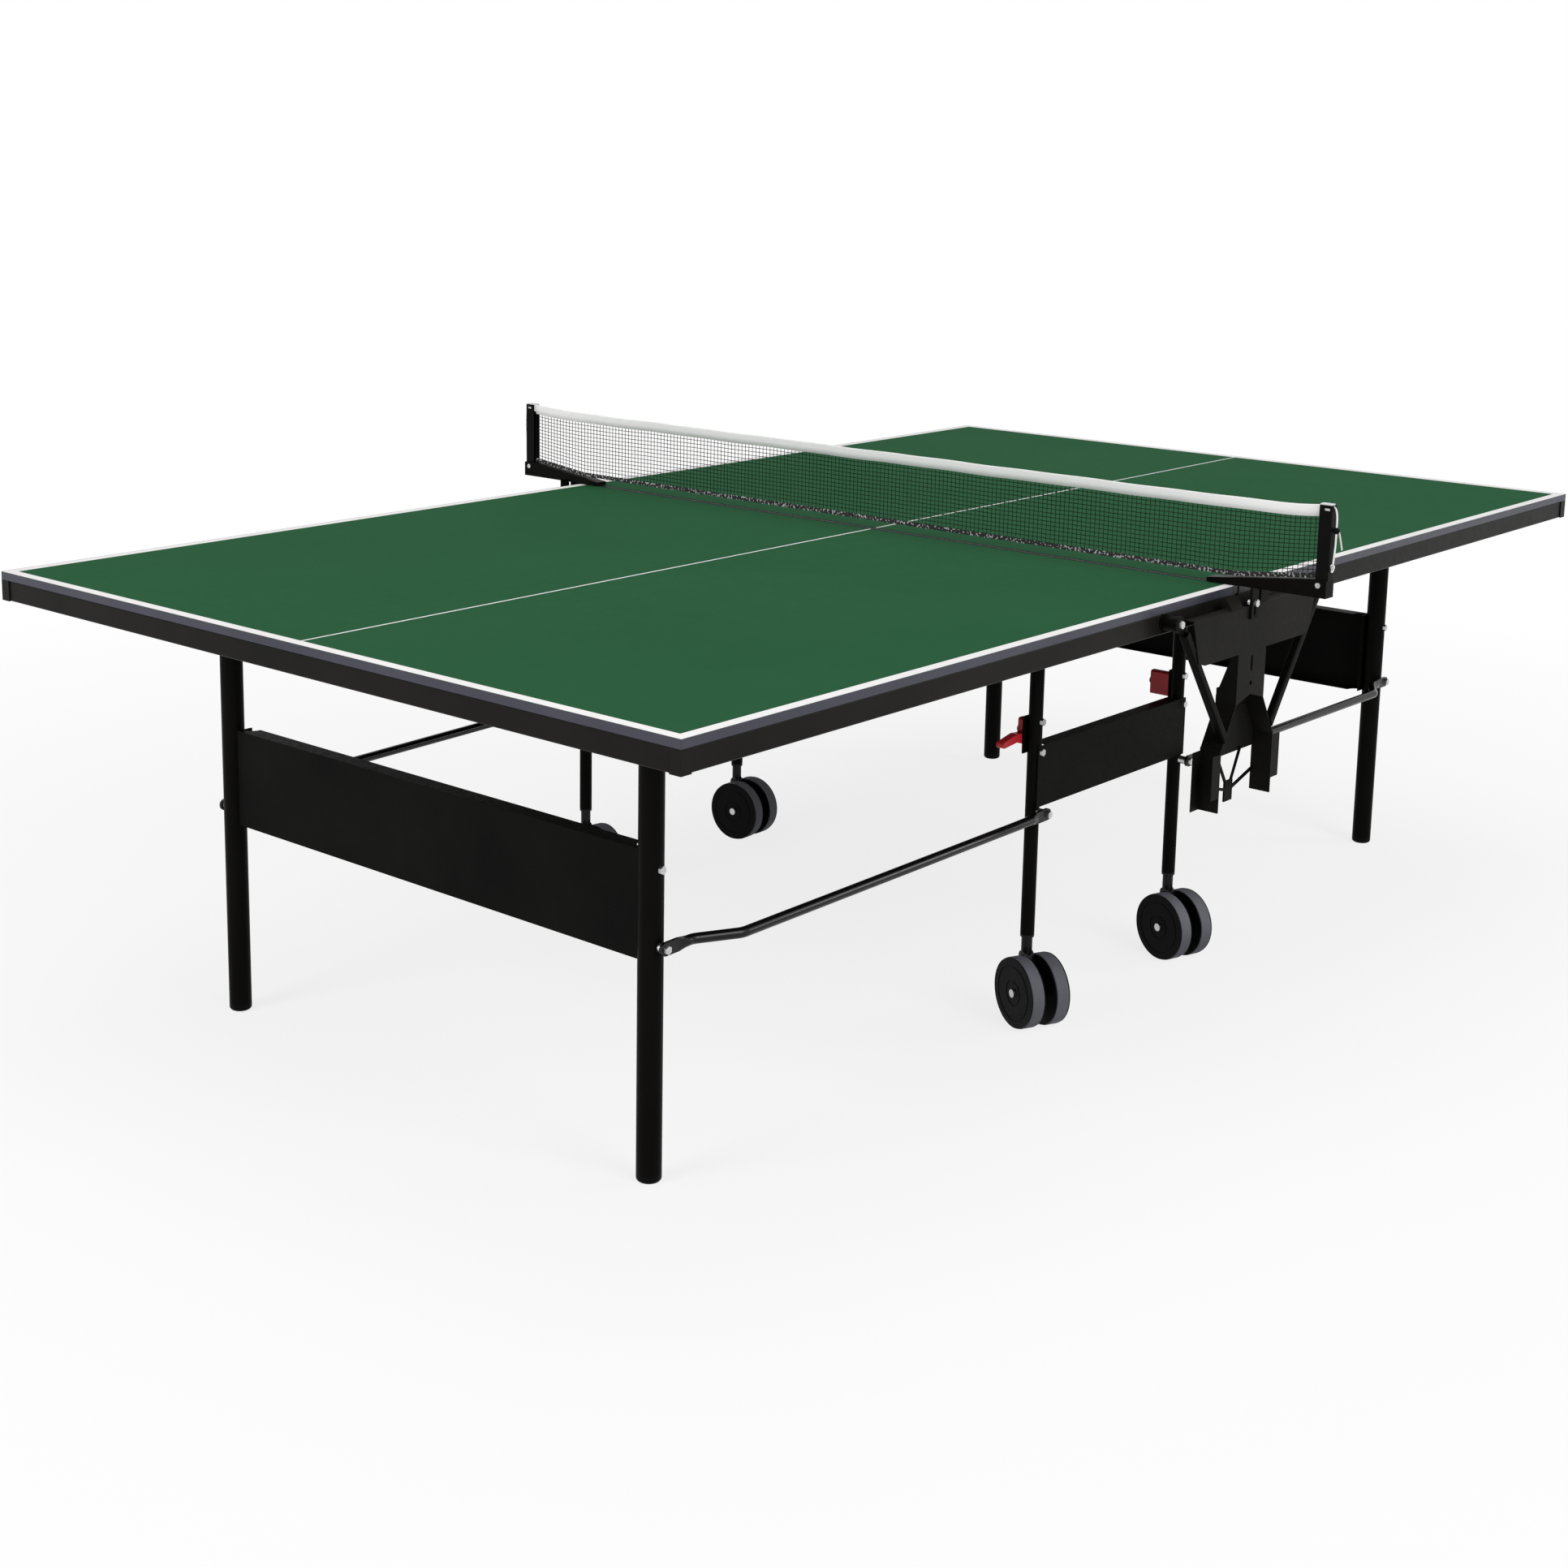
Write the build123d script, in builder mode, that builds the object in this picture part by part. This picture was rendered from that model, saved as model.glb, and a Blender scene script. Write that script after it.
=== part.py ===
"""A folding, rolling table tennis table.

Frame: X along the table, Y across it, Z up, origin on the floor under the middle of the net.
Two half tops turn on a wheeled middle trolley. Each half carries an end leg frame, and link rods
between the trolley and the leg frames keep the legs upright while a half folds.
"Left" is -X, "right" is +X, "near" is -Y and "far" is +Y. Millimetres.
"""

import os
from math import cos, pi, radians, sin, tan

from build123d import *

os.makedirs("parts", exist_ok=True)

# Playing surface
TABLE_LENGTH = 2740
TABLE_WIDTH = 1525
TABLE_HEIGHT = 760
HALF_GAP = 4
BOARD_THICKNESS = 13
TRIM_THICKNESS = 1.5

# Steel frame under each half
APRON_HEIGHT = 35
APRON_WIDTH = 20
APRON_SETBACK = 2.5
TUBE_WALL = 1.5
TUBE_CORNER = 3
WELD_GAP = 0.2
CORNER_CAP_LEG = 18
CORNER_CAP_WALL = 2
RAIL_WIDTH = 30
RAIL_HEIGHT = 25
RAIL_TO_LEG = 46

# Fold pivots: each half turns about its own axle
PIVOT_X = 230
PIVOT_DROP = 28
AXLE_DIAMETER = 25
AXLE_WALL = 2
AXLE_PLUG = 30
RUNNING_CLEARANCE = 0.05
SIDE_CLEARANCE = 0.4
BUSH_WALL = 1.95
BUSH_FLANGE_WALL = 2.4
BUSH_FLANGE = 2

# End leg frames
LEG_SETBACK = 251
LEG_INSET = 282.5
LEG_DIAMETER = 38
LEG_WALL = 2
LEG_PIVOT_DROP = 42
LEG_HEAD = 16
PLUG_LENGTH = 26
PLUG_LIP = 3
FOOT_HEIGHT = 12
FOOT_ROUND = 6
EAR_THICKNESS = 3
EAR_RADIUS = 12
SHEET = 1.5
END_PANEL_BOTTOM = 333
END_PANEL_TOP = 497
END_PANEL_DEPTH = 30
END_PANEL_OUT = 6
END_PANEL_BOLT_Z = 473
FLANGE_NOTCH = 22

# Trolley
WHEEL_LEG_INSET = 235.5
WHEEL_LEG_DIAMETER = 24
WHEEL_LEG_BOTTOM = 155
SIDE_PANEL_HALF = 238
SIDE_PANEL_BOTTOM = 381
SIDE_PANEL_TOP = 487
SIDE_PANEL_FLANGE = 24
SIDE_PANEL_LIP = 12
SIDE_PANEL_BOLT_Z = 476

# Link rods
ROD_PIVOT_Z = 372
ROD_OUT_TROLLEY = 29
ROD_OUT_LEG = 28
ROD_DIAMETER = 16
ROD_FLAT = 5
ROD_FLAT_WIDTH = 20
ROD_FLAT_LENGTH = 26
ROD_TAPER = 20
ROD_LEAD = 40
ROD_CRANK_INSET = 11
ROD_CRANK = 67
ROD_TAIL = 11
ROD_BEND = 30
SPACER_DIAMETER = 14

# Castors: twin wheels on a swivelling fork
WHEEL_DIAMETER = 122
WHEEL_WIDTH = 27
FORK_WIDTH = 19
WHEEL_PLAY = 1
WHEEL_TRAIL = 22
TYRE_THICKNESS = 5
TYRE_INSET = 2
TYRE_PROUD = 1
RIM_GROOVE = 0.8
RIM_GROOVE_EDGES = [(0.86, 0.80), (0.40, 0.34)]
STEM_DIAMETER = 10
SOCKET_FLANGE = 4
SOCKET_LENGTH = 40
FORK_HEAD_DIAMETER = 19
FORK_HEAD_Z = 116
FORK_HUB_DIAMETER = 26
AXLE_PIN = 8
AXLE_PIN_HEAD = 14
AXLE_PIN_HEAD_HEIGHT = 3
CASTOR_YAW = {"left_near": 24, "right_near": 17, "left_far": 10, "right_far": -2}

# Side trusses, outside each long edge
STRUT_OUT = 28.5
STRUT_SIZE = 14
STRUT_FOOT_X = 77
STRUT_FOOT_DROP = 243
STRUT_OVERRUN = 12
STRUT_EYE_RADIUS = 14
STRUT_EYE = 4
STRUT_EYE_INSET = 5
PLATE_DROP = 27
PLATE_HEIGHT = 77
PLATE_HALF_TOP = 205
PLATE_HALF_BOTTOM = 182
PLATE_FLANGE_HALF = 196
PLATE_FOOT_CHAMFER = 5
PLATE_FOOT_RUN = 20
PLATE_FLANGE = 20
PLATE_NOTCH_HALF = 34
PLATE_EAR_X = 65
PLATE_EAR_WIDTH = 37
PLATE_EAR_LENGTH = 25
PLATE_EAR_LEAN = 32

# Middle yoke of each truss, folded from sheet
YOKE_SHEET = 2
YOKE_GAP = 3
YOKE_TOP_DROP = 16
POST_HALF = 46
POST_FOOT_DROP = 193
POST_DEPTH = 10
BELL_HALF = 89
BELL_HEIGHT = 72
BELL_DEPTH = 38
BELL_BACK_RISE = 25
BELL_SKIRT = 25
ARCH_RISE = 13
PRONG_X = 88
PRONG_LENGTH = 107
PRONG_WIDTH = 38
PRONG_LIP = 24
PRONG_LIP_RISE = 26
SLOT_LENGTH = 27
SLOT_WIDTH = 6
SLOT_DROP = 127
YOKE_HOLE_DROP = 161
YOKE_HOLE = 4
HUB_X = 5
HUB_DROP = 354
HUB_WIDTH = 26
HUB_HEIGHT = 36
STRAP_WIDTH = 5
STRAP_THICKNESS = 3
STRAP_RELIEF = 1
STRAP_BELL_X = 40
STRAP_BELL_DROP = 284
STRAP_PRONG_DROP = 330

# Latches on the inner sides of the wheel legs; the right end's levers are wide paddles
LATCH_PLATE = 3
LATCH_BOTTOM = 472
LATCH_TOP = 536
LATCH_INBOARD = 8
LATCH_OUTBOARD = 16
LATCH_BOLT_Z = 528
LEVER_PIVOT_Z = 510
LEVER_WIDTH = {"left": 14, "right": 37}
LEVER_TAB = {"left": 70, "right": 46}
LEVER_HALF = 8
LEVER_RISE = 20
LEVER_WAIST = 8
LEVER_HUMP = 30
LEVER_HEEL = 24
LEVER_TAB_THICKNESS = 10
LEVER_ROUND = 4
LATCH_PIN = 6
LATCH_PIN_HEAD = 3

# Net set
NET_HEIGHT = 152.5
POST_OUT = 140.5
NET_LIFT = 15
NET_CLEARANCE = 1
NET_SHEET = 1.2
NET_STRAND = 3
NET_HEM = 8
NET_COLUMNS = 48
NET_ROWS = 5
TAPE_HEIGHT = 19.5
TAPE_THICKNESS = 3
NET_POST_DEPTH = 22
NET_POST_WIDTH = 16
NET_POST_WALL = 2
CAP_RISE = 2
CAP_DEPTH = 14
CAP_SLOT = 4
CAP_SLOT_DROP = 8
CAP_WINDOW_DROP = 5
CAP_WINDOW = 4
CAP_WINDOW_MARGIN = 4
ARM_LAP = 52.5
ARM_WIDTH = 26
ARM_LIFT = 1.5
ARM_TIP_DEPTH = 7
ARM_HEAD_RISE = 30
ARM_HEAD_LENGTH = 29
ARM_WALL = 2
ARM_SCREW_INSET = 14
ARM_SCREW_DROP = 8
ARM_SCREW = 5
ARM_SCREW_HEAD = 9
ARM_SCREW_HEAD_HEIGHT = 2
STEM_NEAR = 5
STEM_WIDTH = 22
STEM_SHEET = 4
STEM_DROP = 48
STEM_SLOT = 15
STEM_SLOT_WIDTH = 5
STEM_SLOT_DROP = 35
STEM_SCREW_DROP = 22
STEM_BLOCK = 28
STEM_BLOCK_DROP = 24
LOCK_RADIUS = 5.5
LOCK_RISE = 112
CORD_DIAMETER = 3
BEND_SHARE = 0.45
CORD_REACH = 5.5
CORD_SHOULDER = 9
CORD_BOW = 3
CORD_FOOT_RISE = 51

# Fasteners
BOLT_DIAMETER = 8
BOLT_HEAD_RADIUS = 6.5
BOLT_HEAD_HEIGHT = 5

# Places worked out from the sizes above
board_bottom = TABLE_HEIGHT - BOARD_THICKNESS
apron_bottom = board_bottom - APRON_HEIGHT
apron_middle = board_bottom - APRON_HEIGHT / 2
inner_x = HALF_GAP / 2
edge_x = TABLE_LENGTH / 2
edge_y = TABLE_WIDTH / 2
apron_x = edge_x - APRON_SETBACK
apron_y = edge_y - APRON_SETBACK
pivot_z = TABLE_HEIGHT - PIVOT_DROP
axle_hole = AXLE_DIAMETER / 2 + RUNNING_CLEARANCE
bush_radius = axle_hole + BUSH_WALL
leg_reach = edge_x - LEG_SETBACK
leg_row = edge_y - LEG_INSET
leg_pivot_z = TABLE_HEIGHT - LEG_PIVOT_DROP
leg_top = leg_pivot_z + LEG_HEAD
leg_radius = LEG_DIAMETER / 2
leg_bore = leg_radius - LEG_WALL
leg_outside = leg_row + leg_radius
leg_inside = leg_row - leg_radius
wheel_leg_row = edge_y - WHEEL_LEG_INSET
wheel_leg_radius = WHEEL_LEG_DIAMETER / 2
wheel_leg_outside = wheel_leg_row + wheel_leg_radius
wheel_leg_inside = wheel_leg_row - wheel_leg_radius
rod_row_trolley = wheel_leg_row + ROD_OUT_TROLLEY
rod_row_crank = rod_row_trolley - ROD_CRANK_INSET
rod_row_leg = leg_row + ROD_OUT_LEG
rod_leg_z = ROD_PIVOT_Z + leg_pivot_z - pivot_z
bolt_radius = BOLT_DIAMETER / 2
bolt_hole = bolt_radius + RUNNING_CLEARANCE
wheel_radius = WHEEL_DIAMETER / 2
wheel_inner = FORK_WIDTH / 2 + WHEEL_PLAY
wheel_outer = wheel_inner + WHEEL_WIDTH
strut_row = edge_y + STRUT_OUT
strut_eye_row = strut_row - STRUT_EYE_INSET
strut_outside = strut_row + STRUT_SIZE / 2
plate_top = TABLE_HEIGHT - PLATE_DROP
plate_bottom = plate_top - PLATE_HEIGHT
yoke_y = strut_outside - YOKE_GAP
yoke_top = plate_top - YOKE_TOP_DROP
post_foot = TABLE_HEIGHT - POST_FOOT_DROP
bell_bottom = post_foot - BELL_HEIGHT
bell_back = yoke_y - BELL_DEPTH
tie_row = bell_back + YOKE_SHEET + WELD_GAP
stem_y = strut_outside + SHEET
stem_front = stem_y + STEM_SHEET
stem_middle = -STEM_NEAR - STEM_WIDTH / 2
stem_screw_z = TABLE_HEIGHT - STEM_SCREW_DROP
net_top = TABLE_HEIGHT + NET_HEIGHT
net_bottom = TABLE_HEIGHT + NET_LIFT
post_row = edge_y + POST_OUT
post_outside = post_row + NET_POST_DEPTH
arm_bottom = TABLE_HEIGHT + ARM_LIFT
arm_tip_row = edge_y - ARM_LAP
arm_head_z = TABLE_HEIGHT + ARM_HEAD_RISE
lock_z = TABLE_HEIGHT + LOCK_RISE
cord_foot_z = TABLE_HEIGHT + CORD_FOOT_RISE

ENDS = {"left": -1, "right": 1}
SIDES = {"near": -1, "far": 1}
CORNERS = [(end_name, end, side_name, side)
           for end_name, end in ENDS.items() for side_name, side in SIDES.items()]


def save(builder, name):
    """Names the finished piece and writes it."""
    builder.part.label = name
    export_step(builder.part, f"parts/{name}.step")


def side_plane(y):
    """An upright plane across the table at Y, drawn in X and Z."""
    return Plane.XZ.offset(-y)


def bar(start, end, radius, hole=0.0, mode=Mode.ADD):
    """A round bar between two points, or a tube where it has a hole."""
    along = Vector(*end) - Vector(*start)
    with BuildSketch(Plane(origin=start, z_dir=along)) as section:
        Circle(radius)
        if hole:
            Circle(hole, mode=Mode.SUBTRACT)
    extrude(section.sketch, amount=along.length, mode=mode)


def bore(x, z, y_start, y_end, radius):
    """A round hole along Y through the open piece."""
    bar((x, y_start, z), (x, y_end, z), radius, mode=Mode.SUBTRACT)


def block(x_range, y_range, z_range, mode=Mode.ADD):
    """A square-edged block, given by its extent along each axis."""
    spans = (x_range, y_range, z_range)
    with Locations(tuple(sum(span) / 2 for span in spans)):
        Box(*[abs(span[1] - span[0]) for span in spans], mode=mode)


def sheet(outline, y, thickness, side, mode=Mode.ADD):
    """A flat sheet upright in X and Z, its inner face at Y, thickening away from the table."""
    with BuildSketch(side_plane(side * y)) as face:
        with BuildLine():
            Polyline(*outline, close=True)
        make_face()
    extrude(face.sketch, amount=-side * thickness, mode=mode)


def bolt(side, x, z, seat, length):
    """A hexagon bolt along Y: its head stands outside the seat, its shank runs inwards."""
    with BuildSketch(Plane(origin=(x, side * seat, z), z_dir=(0, side, 0))) as head:
        RegularPolygon(BOLT_HEAD_RADIUS, 6)
    extrude(head.sketch, amount=BOLT_HEAD_HEIGHT)
    bar((x, side * seat, z), (x, side * (seat - length), z), bolt_radius)


def tube_section(width, height):
    """The section of a rectangular steel tube, in the open sketch."""
    RectangleRounded(width, height, TUBE_CORNER)
    Rectangle(width - 2 * TUBE_WALL, height - 2 * TUBE_WALL, mode=Mode.SUBTRACT)


# Half tops
for end_name, end in ENDS.items():
    half_length = edge_x - inner_x
    half_middle = end * (edge_x + inner_x) / 2
    board_size = (half_length - 2 * TRIM_THICKNESS, TABLE_WIDTH - 2 * TRIM_THICKNESS)

    with BuildPart() as board:
        with BuildSketch(Plane.XY.offset(board_bottom)):
            with Locations((half_middle, 0)):
                Rectangle(*board_size)
        extrude(amount=BOARD_THICKNESS)
    save(board, f"board_{end_name}")

    with BuildPart() as edge_trim:
        with BuildSketch(Plane.XY.offset(board_bottom)):
            with Locations((half_middle, 0)):
                RectangleRounded(half_length, TABLE_WIDTH, TRIM_THICKNESS)
                Rectangle(*board_size, mode=Mode.SUBTRACT)
        extrude(amount=BOARD_THICKNESS)
    save(edge_trim, f"edge_trim_{end_name}")

    # Two rails along the sides, one across the outer end, and a guard round each corner
    with BuildPart() as apron_rails:
        rail_start = inner_x + APRON_SETBACK
        end_rail_half = apron_y - APRON_WIDTH - WELD_GAP
        for side in SIDES.values():
            with BuildSketch(Plane.YZ.offset(end * rail_start)):
                with Locations((side * (apron_y - APRON_WIDTH / 2), apron_middle)):
                    tube_section(APRON_WIDTH, APRON_HEIGHT)
            extrude(amount=end * (apron_x - rail_start))
            bore(end * PIVOT_X, pivot_z, side * end_rail_half, side * edge_y, bush_radius + RUNNING_CLEARANCE)
        with BuildSketch(side_plane(end_rail_half)):
            with Locations((end * (apron_x - APRON_WIDTH / 2), apron_middle)):
                tube_section(APRON_WIDTH, APRON_HEIGHT)
        extrude(amount=2 * end_rail_half)
        for side in SIDES.values():
            inner_corner = (end * (apron_x + WELD_GAP), side * (apron_y + WELD_GAP))
            outer_corner = (inner_corner[0] + end * CORNER_CAP_WALL, inner_corner[1] + side * CORNER_CAP_WALL)
            toe_x = end * (apron_x - CORNER_CAP_LEG)
            toe_y = side * (apron_y - CORNER_CAP_LEG)
            with BuildSketch(Plane.XY.offset(apron_bottom)):
                with BuildLine():
                    Polyline(inner_corner, (inner_corner[0], toe_y), (outer_corner[0], toe_y), outer_corner,
                             (toe_x, outer_corner[1]), (toe_x, inner_corner[1]), close=True)
                make_face()
            extrude(amount=APRON_HEIGHT)
    save(apron_rails, f"apron_rails_{end_name}")

    # The cross rail, with a pair of hinge ears welded on either side of each leg head
    with BuildPart() as cross_rail:
        rail_x = leg_reach + RAIL_TO_LEG
        rail_face = rail_x - RAIL_WIDTH / 2
        rail_half = apron_y - APRON_WIDTH
        rail_bottom = board_bottom - RAIL_HEIGHT
        with BuildSketch(side_plane(rail_half)):
            with Locations((end * rail_x, board_bottom - RAIL_HEIGHT / 2)):
                tube_section(RAIL_WIDTH, RAIL_HEIGHT)
        extrude(amount=2 * rail_half)
        ear_offset = leg_radius + SIDE_CLEARANCE
        for side in SIDES.values():
            for outward in (-1, 1):
                with BuildSketch(side_plane(side * leg_row + outward * ear_offset)):
                    with BuildLine():
                        Polyline((end * (rail_face + TUBE_CORNER), board_bottom - TUBE_CORNER),
                                 (end * (leg_reach - EAR_RADIUS), board_bottom - TUBE_CORNER),
                                 (end * (leg_reach - EAR_RADIUS), leg_pivot_z),
                                 (end * leg_reach, leg_pivot_z - EAR_RADIUS),
                                 (end * (rail_face + TUBE_CORNER), rail_bottom + TUBE_CORNER), close=True)
                    make_face()
                    with Locations((end * leg_reach, leg_pivot_z)):
                        Circle(EAR_RADIUS)
                        Circle(bolt_hole, mode=Mode.SUBTRACT)
                    with Locations((end * rail_x, board_bottom - RAIL_HEIGHT / 2)):
                        Rectangle(RAIL_WIDTH, RAIL_HEIGHT, mode=Mode.SUBTRACT)
                extrude(amount=-outward * EAR_THICKNESS)
    save(cross_rail, f"cross_rail_{end_name}")

    with BuildPart() as hinge_bushes:
        for side in SIDES.values():
            mouth = (end * PIVOT_X, side * (apron_y + BUSH_FLANGE), pivot_z)
            seat = (end * PIVOT_X, side * apron_y, pivot_z)
            tail = (end * PIVOT_X, side * (apron_y - APRON_WIDTH - BUSH_FLANGE), pivot_z)
            bar(mouth, tail, bush_radius, axle_hole)
            bar(mouth, seat, axle_hole + BUSH_FLANGE_WALL, axle_hole)
    save(hinge_bushes, f"hinge_bushes_{end_name}")

# End leg frames
for end_name, end in ENDS.items():
    leg_x = end * leg_reach

    with BuildPart() as end_legs:
        for side in SIDES.values():
            leg_y = side * leg_row
            bar((leg_x, leg_y, FOOT_HEIGHT), (leg_x, leg_y, leg_top), leg_radius, leg_bore)
            for hole_z in (leg_pivot_z, rod_leg_z, END_PANEL_BOLT_Z):
                bore(leg_x, hole_z, leg_y - leg_radius, leg_y + leg_radius, bolt_radius)
    save(end_legs, f"end_legs_{end_name}")

    # A rounded foot in the bottom of each leg and a flat plug in its top
    with BuildPart() as foot_caps:
        for side in SIDES.values():
            leg_y = side * leg_row
            plug_radius = leg_bore - RUNNING_CLEARANCE
            bar((leg_x, leg_y, 0), (leg_x, leg_y, FOOT_HEIGHT), leg_radius)
            bar((leg_x, leg_y, FOOT_HEIGHT), (leg_x, leg_y, FOOT_HEIGHT + PLUG_LENGTH), plug_radius)
            bar((leg_x, leg_y, leg_top + PLUG_LIP), (leg_x, leg_y, leg_top), leg_radius)
            bar((leg_x, leg_y, leg_top), (leg_x, leg_y, leg_pivot_z + bolt_radius + PLUG_LIP), plug_radius)
        fillet(foot_caps.edges().group_by(Axis.Z)[0], FOOT_ROUND)
    save(foot_caps, f"foot_caps_{end_name}")

    # A shallow tray of sheet steel, open towards the net, its flanges cut back round at the corners
    with BuildPart() as end_panel:
        face_x = leg_x + end * END_PANEL_OUT
        back_x = face_x - end * END_PANEL_DEPTH
        inside = leg_inside - SHEET
        block((face_x, back_x), (-leg_inside, leg_inside), (END_PANEL_BOTTOM, END_PANEL_TOP))
        block((face_x - end * SHEET, back_x), (-inside, inside),
              (END_PANEL_BOTTOM + SHEET, END_PANEL_TOP - SHEET), mode=Mode.SUBTRACT)
        with BuildSketch(Plane.XY.offset(END_PANEL_BOTTOM)):
            with Locations((back_x, -inside), (back_x, inside)):
                Circle(FLANGE_NOTCH)
            with Locations((back_x, -leg_inside), (back_x, leg_inside)):
                Rectangle(2 * END_PANEL_DEPTH, 2 * SHEET, mode=Mode.SUBTRACT)
        extrude(amount=END_PANEL_TOP - END_PANEL_BOTTOM, mode=Mode.SUBTRACT)
        for hole_z in (END_PANEL_BOLT_Z, rod_leg_z):
            bore(leg_x, hole_z, -leg_inside, leg_inside, bolt_radius)
    save(end_panel, f"end_panel_{end_name}")

    with BuildPart() as leg_bolts:
        for side in SIDES.values():
            ear_reach = leg_radius + EAR_THICKNESS + 2 * SIDE_CLEARANCE
            bolt(side, leg_x, leg_pivot_z, leg_row + ear_reach, 2 * ear_reach)
            bolt(-side, leg_x, leg_pivot_z, ear_reach - leg_row, 0.5 * leg_radius)
            bolt(side, leg_x, END_PANEL_BOLT_Z, leg_outside, LEG_DIAMETER + 2 * SHEET)
            rod_seat = rod_row_leg + ROD_FLAT / 2 + SIDE_CLEARANCE
            spacer_end = rod_row_leg - ROD_FLAT / 2 - SIDE_CLEARANCE
            bolt(side, leg_x, rod_leg_z, rod_seat, rod_seat - leg_inside + 2 * SHEET)
            bar((leg_x, side * leg_outside, rod_leg_z), (leg_x, side * spacer_end, rod_leg_z),
                SPACER_DIAMETER / 2)
    save(leg_bolts, f"leg_bolts_{end_name}")

# Link rods: round bars with flattened ends, cranked in to pass outside the wheel legs
rod_run = Vector(leg_reach - PIVOT_X, 0, rod_leg_z - ROD_PIVOT_Z)
rod_way = rod_run.normalized()


def rod_point(end, side, distance, y):
    """A point on a rod's centre line, which is straight in side view between its two pivots."""
    return (end * (PIVOT_X + rod_way.X * distance), side * y, ROD_PIVOT_Z + rod_way.Z * distance)


for end_name, end, side_name, side in CORNERS:
    with BuildPart() as link_rod:
        tube_start = ROD_FLAT_LENGTH + ROD_TAPER
        tube_end = rod_run.length - ROD_FLAT_LENGTH - ROD_TAPER
        with BuildLine() as rod_line:
            FilletPolyline(
                rod_point(end, side, tube_start, rod_row_trolley),
                rod_point(end, side, tube_start + ROD_LEAD, rod_row_trolley),
                rod_point(end, side, tube_end - ROD_TAIL - ROD_CRANK, rod_row_crank),
                rod_point(end, side, tube_end - ROD_TAIL, rod_row_leg),
                rod_point(end, side, tube_end, rod_row_leg),
                radius=ROD_BEND,
            )
        with BuildSketch(Plane(origin=rod_line.line @ 0, z_dir=rod_line.line % 0)):
            Circle(ROD_DIAMETER / 2)
        sweep()
        for pivot_at, pivot_y, inward in ((0, rod_row_trolley, 1), (rod_run.length, rod_row_leg, -1)):
            pivot = rod_point(end, side, pivot_at, pivot_y)
            neck = rod_point(end, side, pivot_at + inward * ROD_FLAT_LENGTH, pivot_y)
            along = Vector(*neck) - Vector(*pivot)
            neck_plane = Plane(origin=neck, x_dir=(0, 1, 0), z_dir=along)
            with BuildSketch(neck_plane):
                Rectangle(ROD_FLAT, ROD_FLAT_WIDTH)
            with BuildSketch(neck_plane.offset(ROD_TAPER)):
                Circle(ROD_DIAMETER / 2)
            loft()
            flat_start = (pivot[0], pivot[1] - ROD_FLAT / 2, pivot[2])
            flat_plane = Plane(origin=flat_start, x_dir=along, z_dir=(0, 1, 0))
            with BuildSketch(flat_plane):
                Circle(ROD_FLAT_WIDTH / 2)
                with Locations((ROD_FLAT_LENGTH / 2, 0)):
                    Rectangle(ROD_FLAT_LENGTH, ROD_FLAT_WIDTH)
                Circle(bolt_hole, mode=Mode.SUBTRACT)
            extrude(amount=ROD_FLAT)
    save(link_rod, f"link_rod_{end_name}_{side_name}")

# Trolley: two axles and four wheel legs coped onto them
with BuildPart() as axle_tubes:
    for end in ENDS.values():
        bar((end * PIVOT_X, -strut_eye_row, pivot_z), (end * PIVOT_X, strut_eye_row, pivot_z),
            AXLE_DIAMETER / 2, AXLE_DIAMETER / 2 - AXLE_WALL)
save(axle_tubes, "axle_tubes")

with BuildPart() as wheel_legs:
    for end_name, end, side_name, side in CORNERS:
        leg_x = end * PIVOT_X
        leg_y = side * wheel_leg_row
        bar((leg_x, leg_y, WHEEL_LEG_BOTTOM), (leg_x, leg_y, pivot_z), wheel_leg_radius,
            wheel_leg_radius - AXLE_WALL)
        bore(leg_x, pivot_z, leg_y - AXLE_DIAMETER, leg_y + AXLE_DIAMETER, AXLE_DIAMETER / 2)
        for hole_z in (SIDE_PANEL_BOLT_Z, LATCH_BOLT_Z, ROD_PIVOT_Z):
            bore(leg_x, hole_z, leg_y - wheel_leg_radius, leg_y + wheel_leg_radius, bolt_radius)
save(wheel_legs, "wheel_legs")

with BuildPart() as castor_sockets:
    for end_name, end, side_name, side in CORNERS:
        at = (end * PIVOT_X, side * wheel_leg_row)
        stem_hole = STEM_DIAMETER / 2 + RUNNING_CLEARANCE
        bar((*at, WHEEL_LEG_BOTTOM - SOCKET_FLANGE), (*at, WHEEL_LEG_BOTTOM), wheel_leg_radius, stem_hole)
        bar((*at, WHEEL_LEG_BOTTOM), (*at, WHEEL_LEG_BOTTOM + SOCKET_LENGTH),
            wheel_leg_radius - AXLE_WALL - RUNNING_CLEARANCE, stem_hole)
save(castor_sockets, "castor_sockets")

with BuildPart() as side_panels:
    for side in SIDES.values():
        face_y = side * wheel_leg_outside
        flange_half = PIVOT_X - wheel_leg_radius - 2 * SHEET
        block((-SIDE_PANEL_HALF, SIDE_PANEL_HALF), (face_y, face_y + side * SHEET),
              (SIDE_PANEL_BOTTOM, SIDE_PANEL_TOP))
        block((-flange_half, flange_half), (face_y - side * SIDE_PANEL_FLANGE, face_y),
              (SIDE_PANEL_TOP - SHEET, SIDE_PANEL_TOP))
        block((-flange_half, flange_half), (face_y - side * SIDE_PANEL_LIP, face_y),
              (SIDE_PANEL_BOTTOM, SIDE_PANEL_BOTTOM + SHEET))
        for end in ENDS.values():
            bore(end * PIVOT_X, SIDE_PANEL_BOLT_Z, face_y, face_y + side * SHEET, bolt_radius)
save(side_panels, "side_panels")

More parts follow.
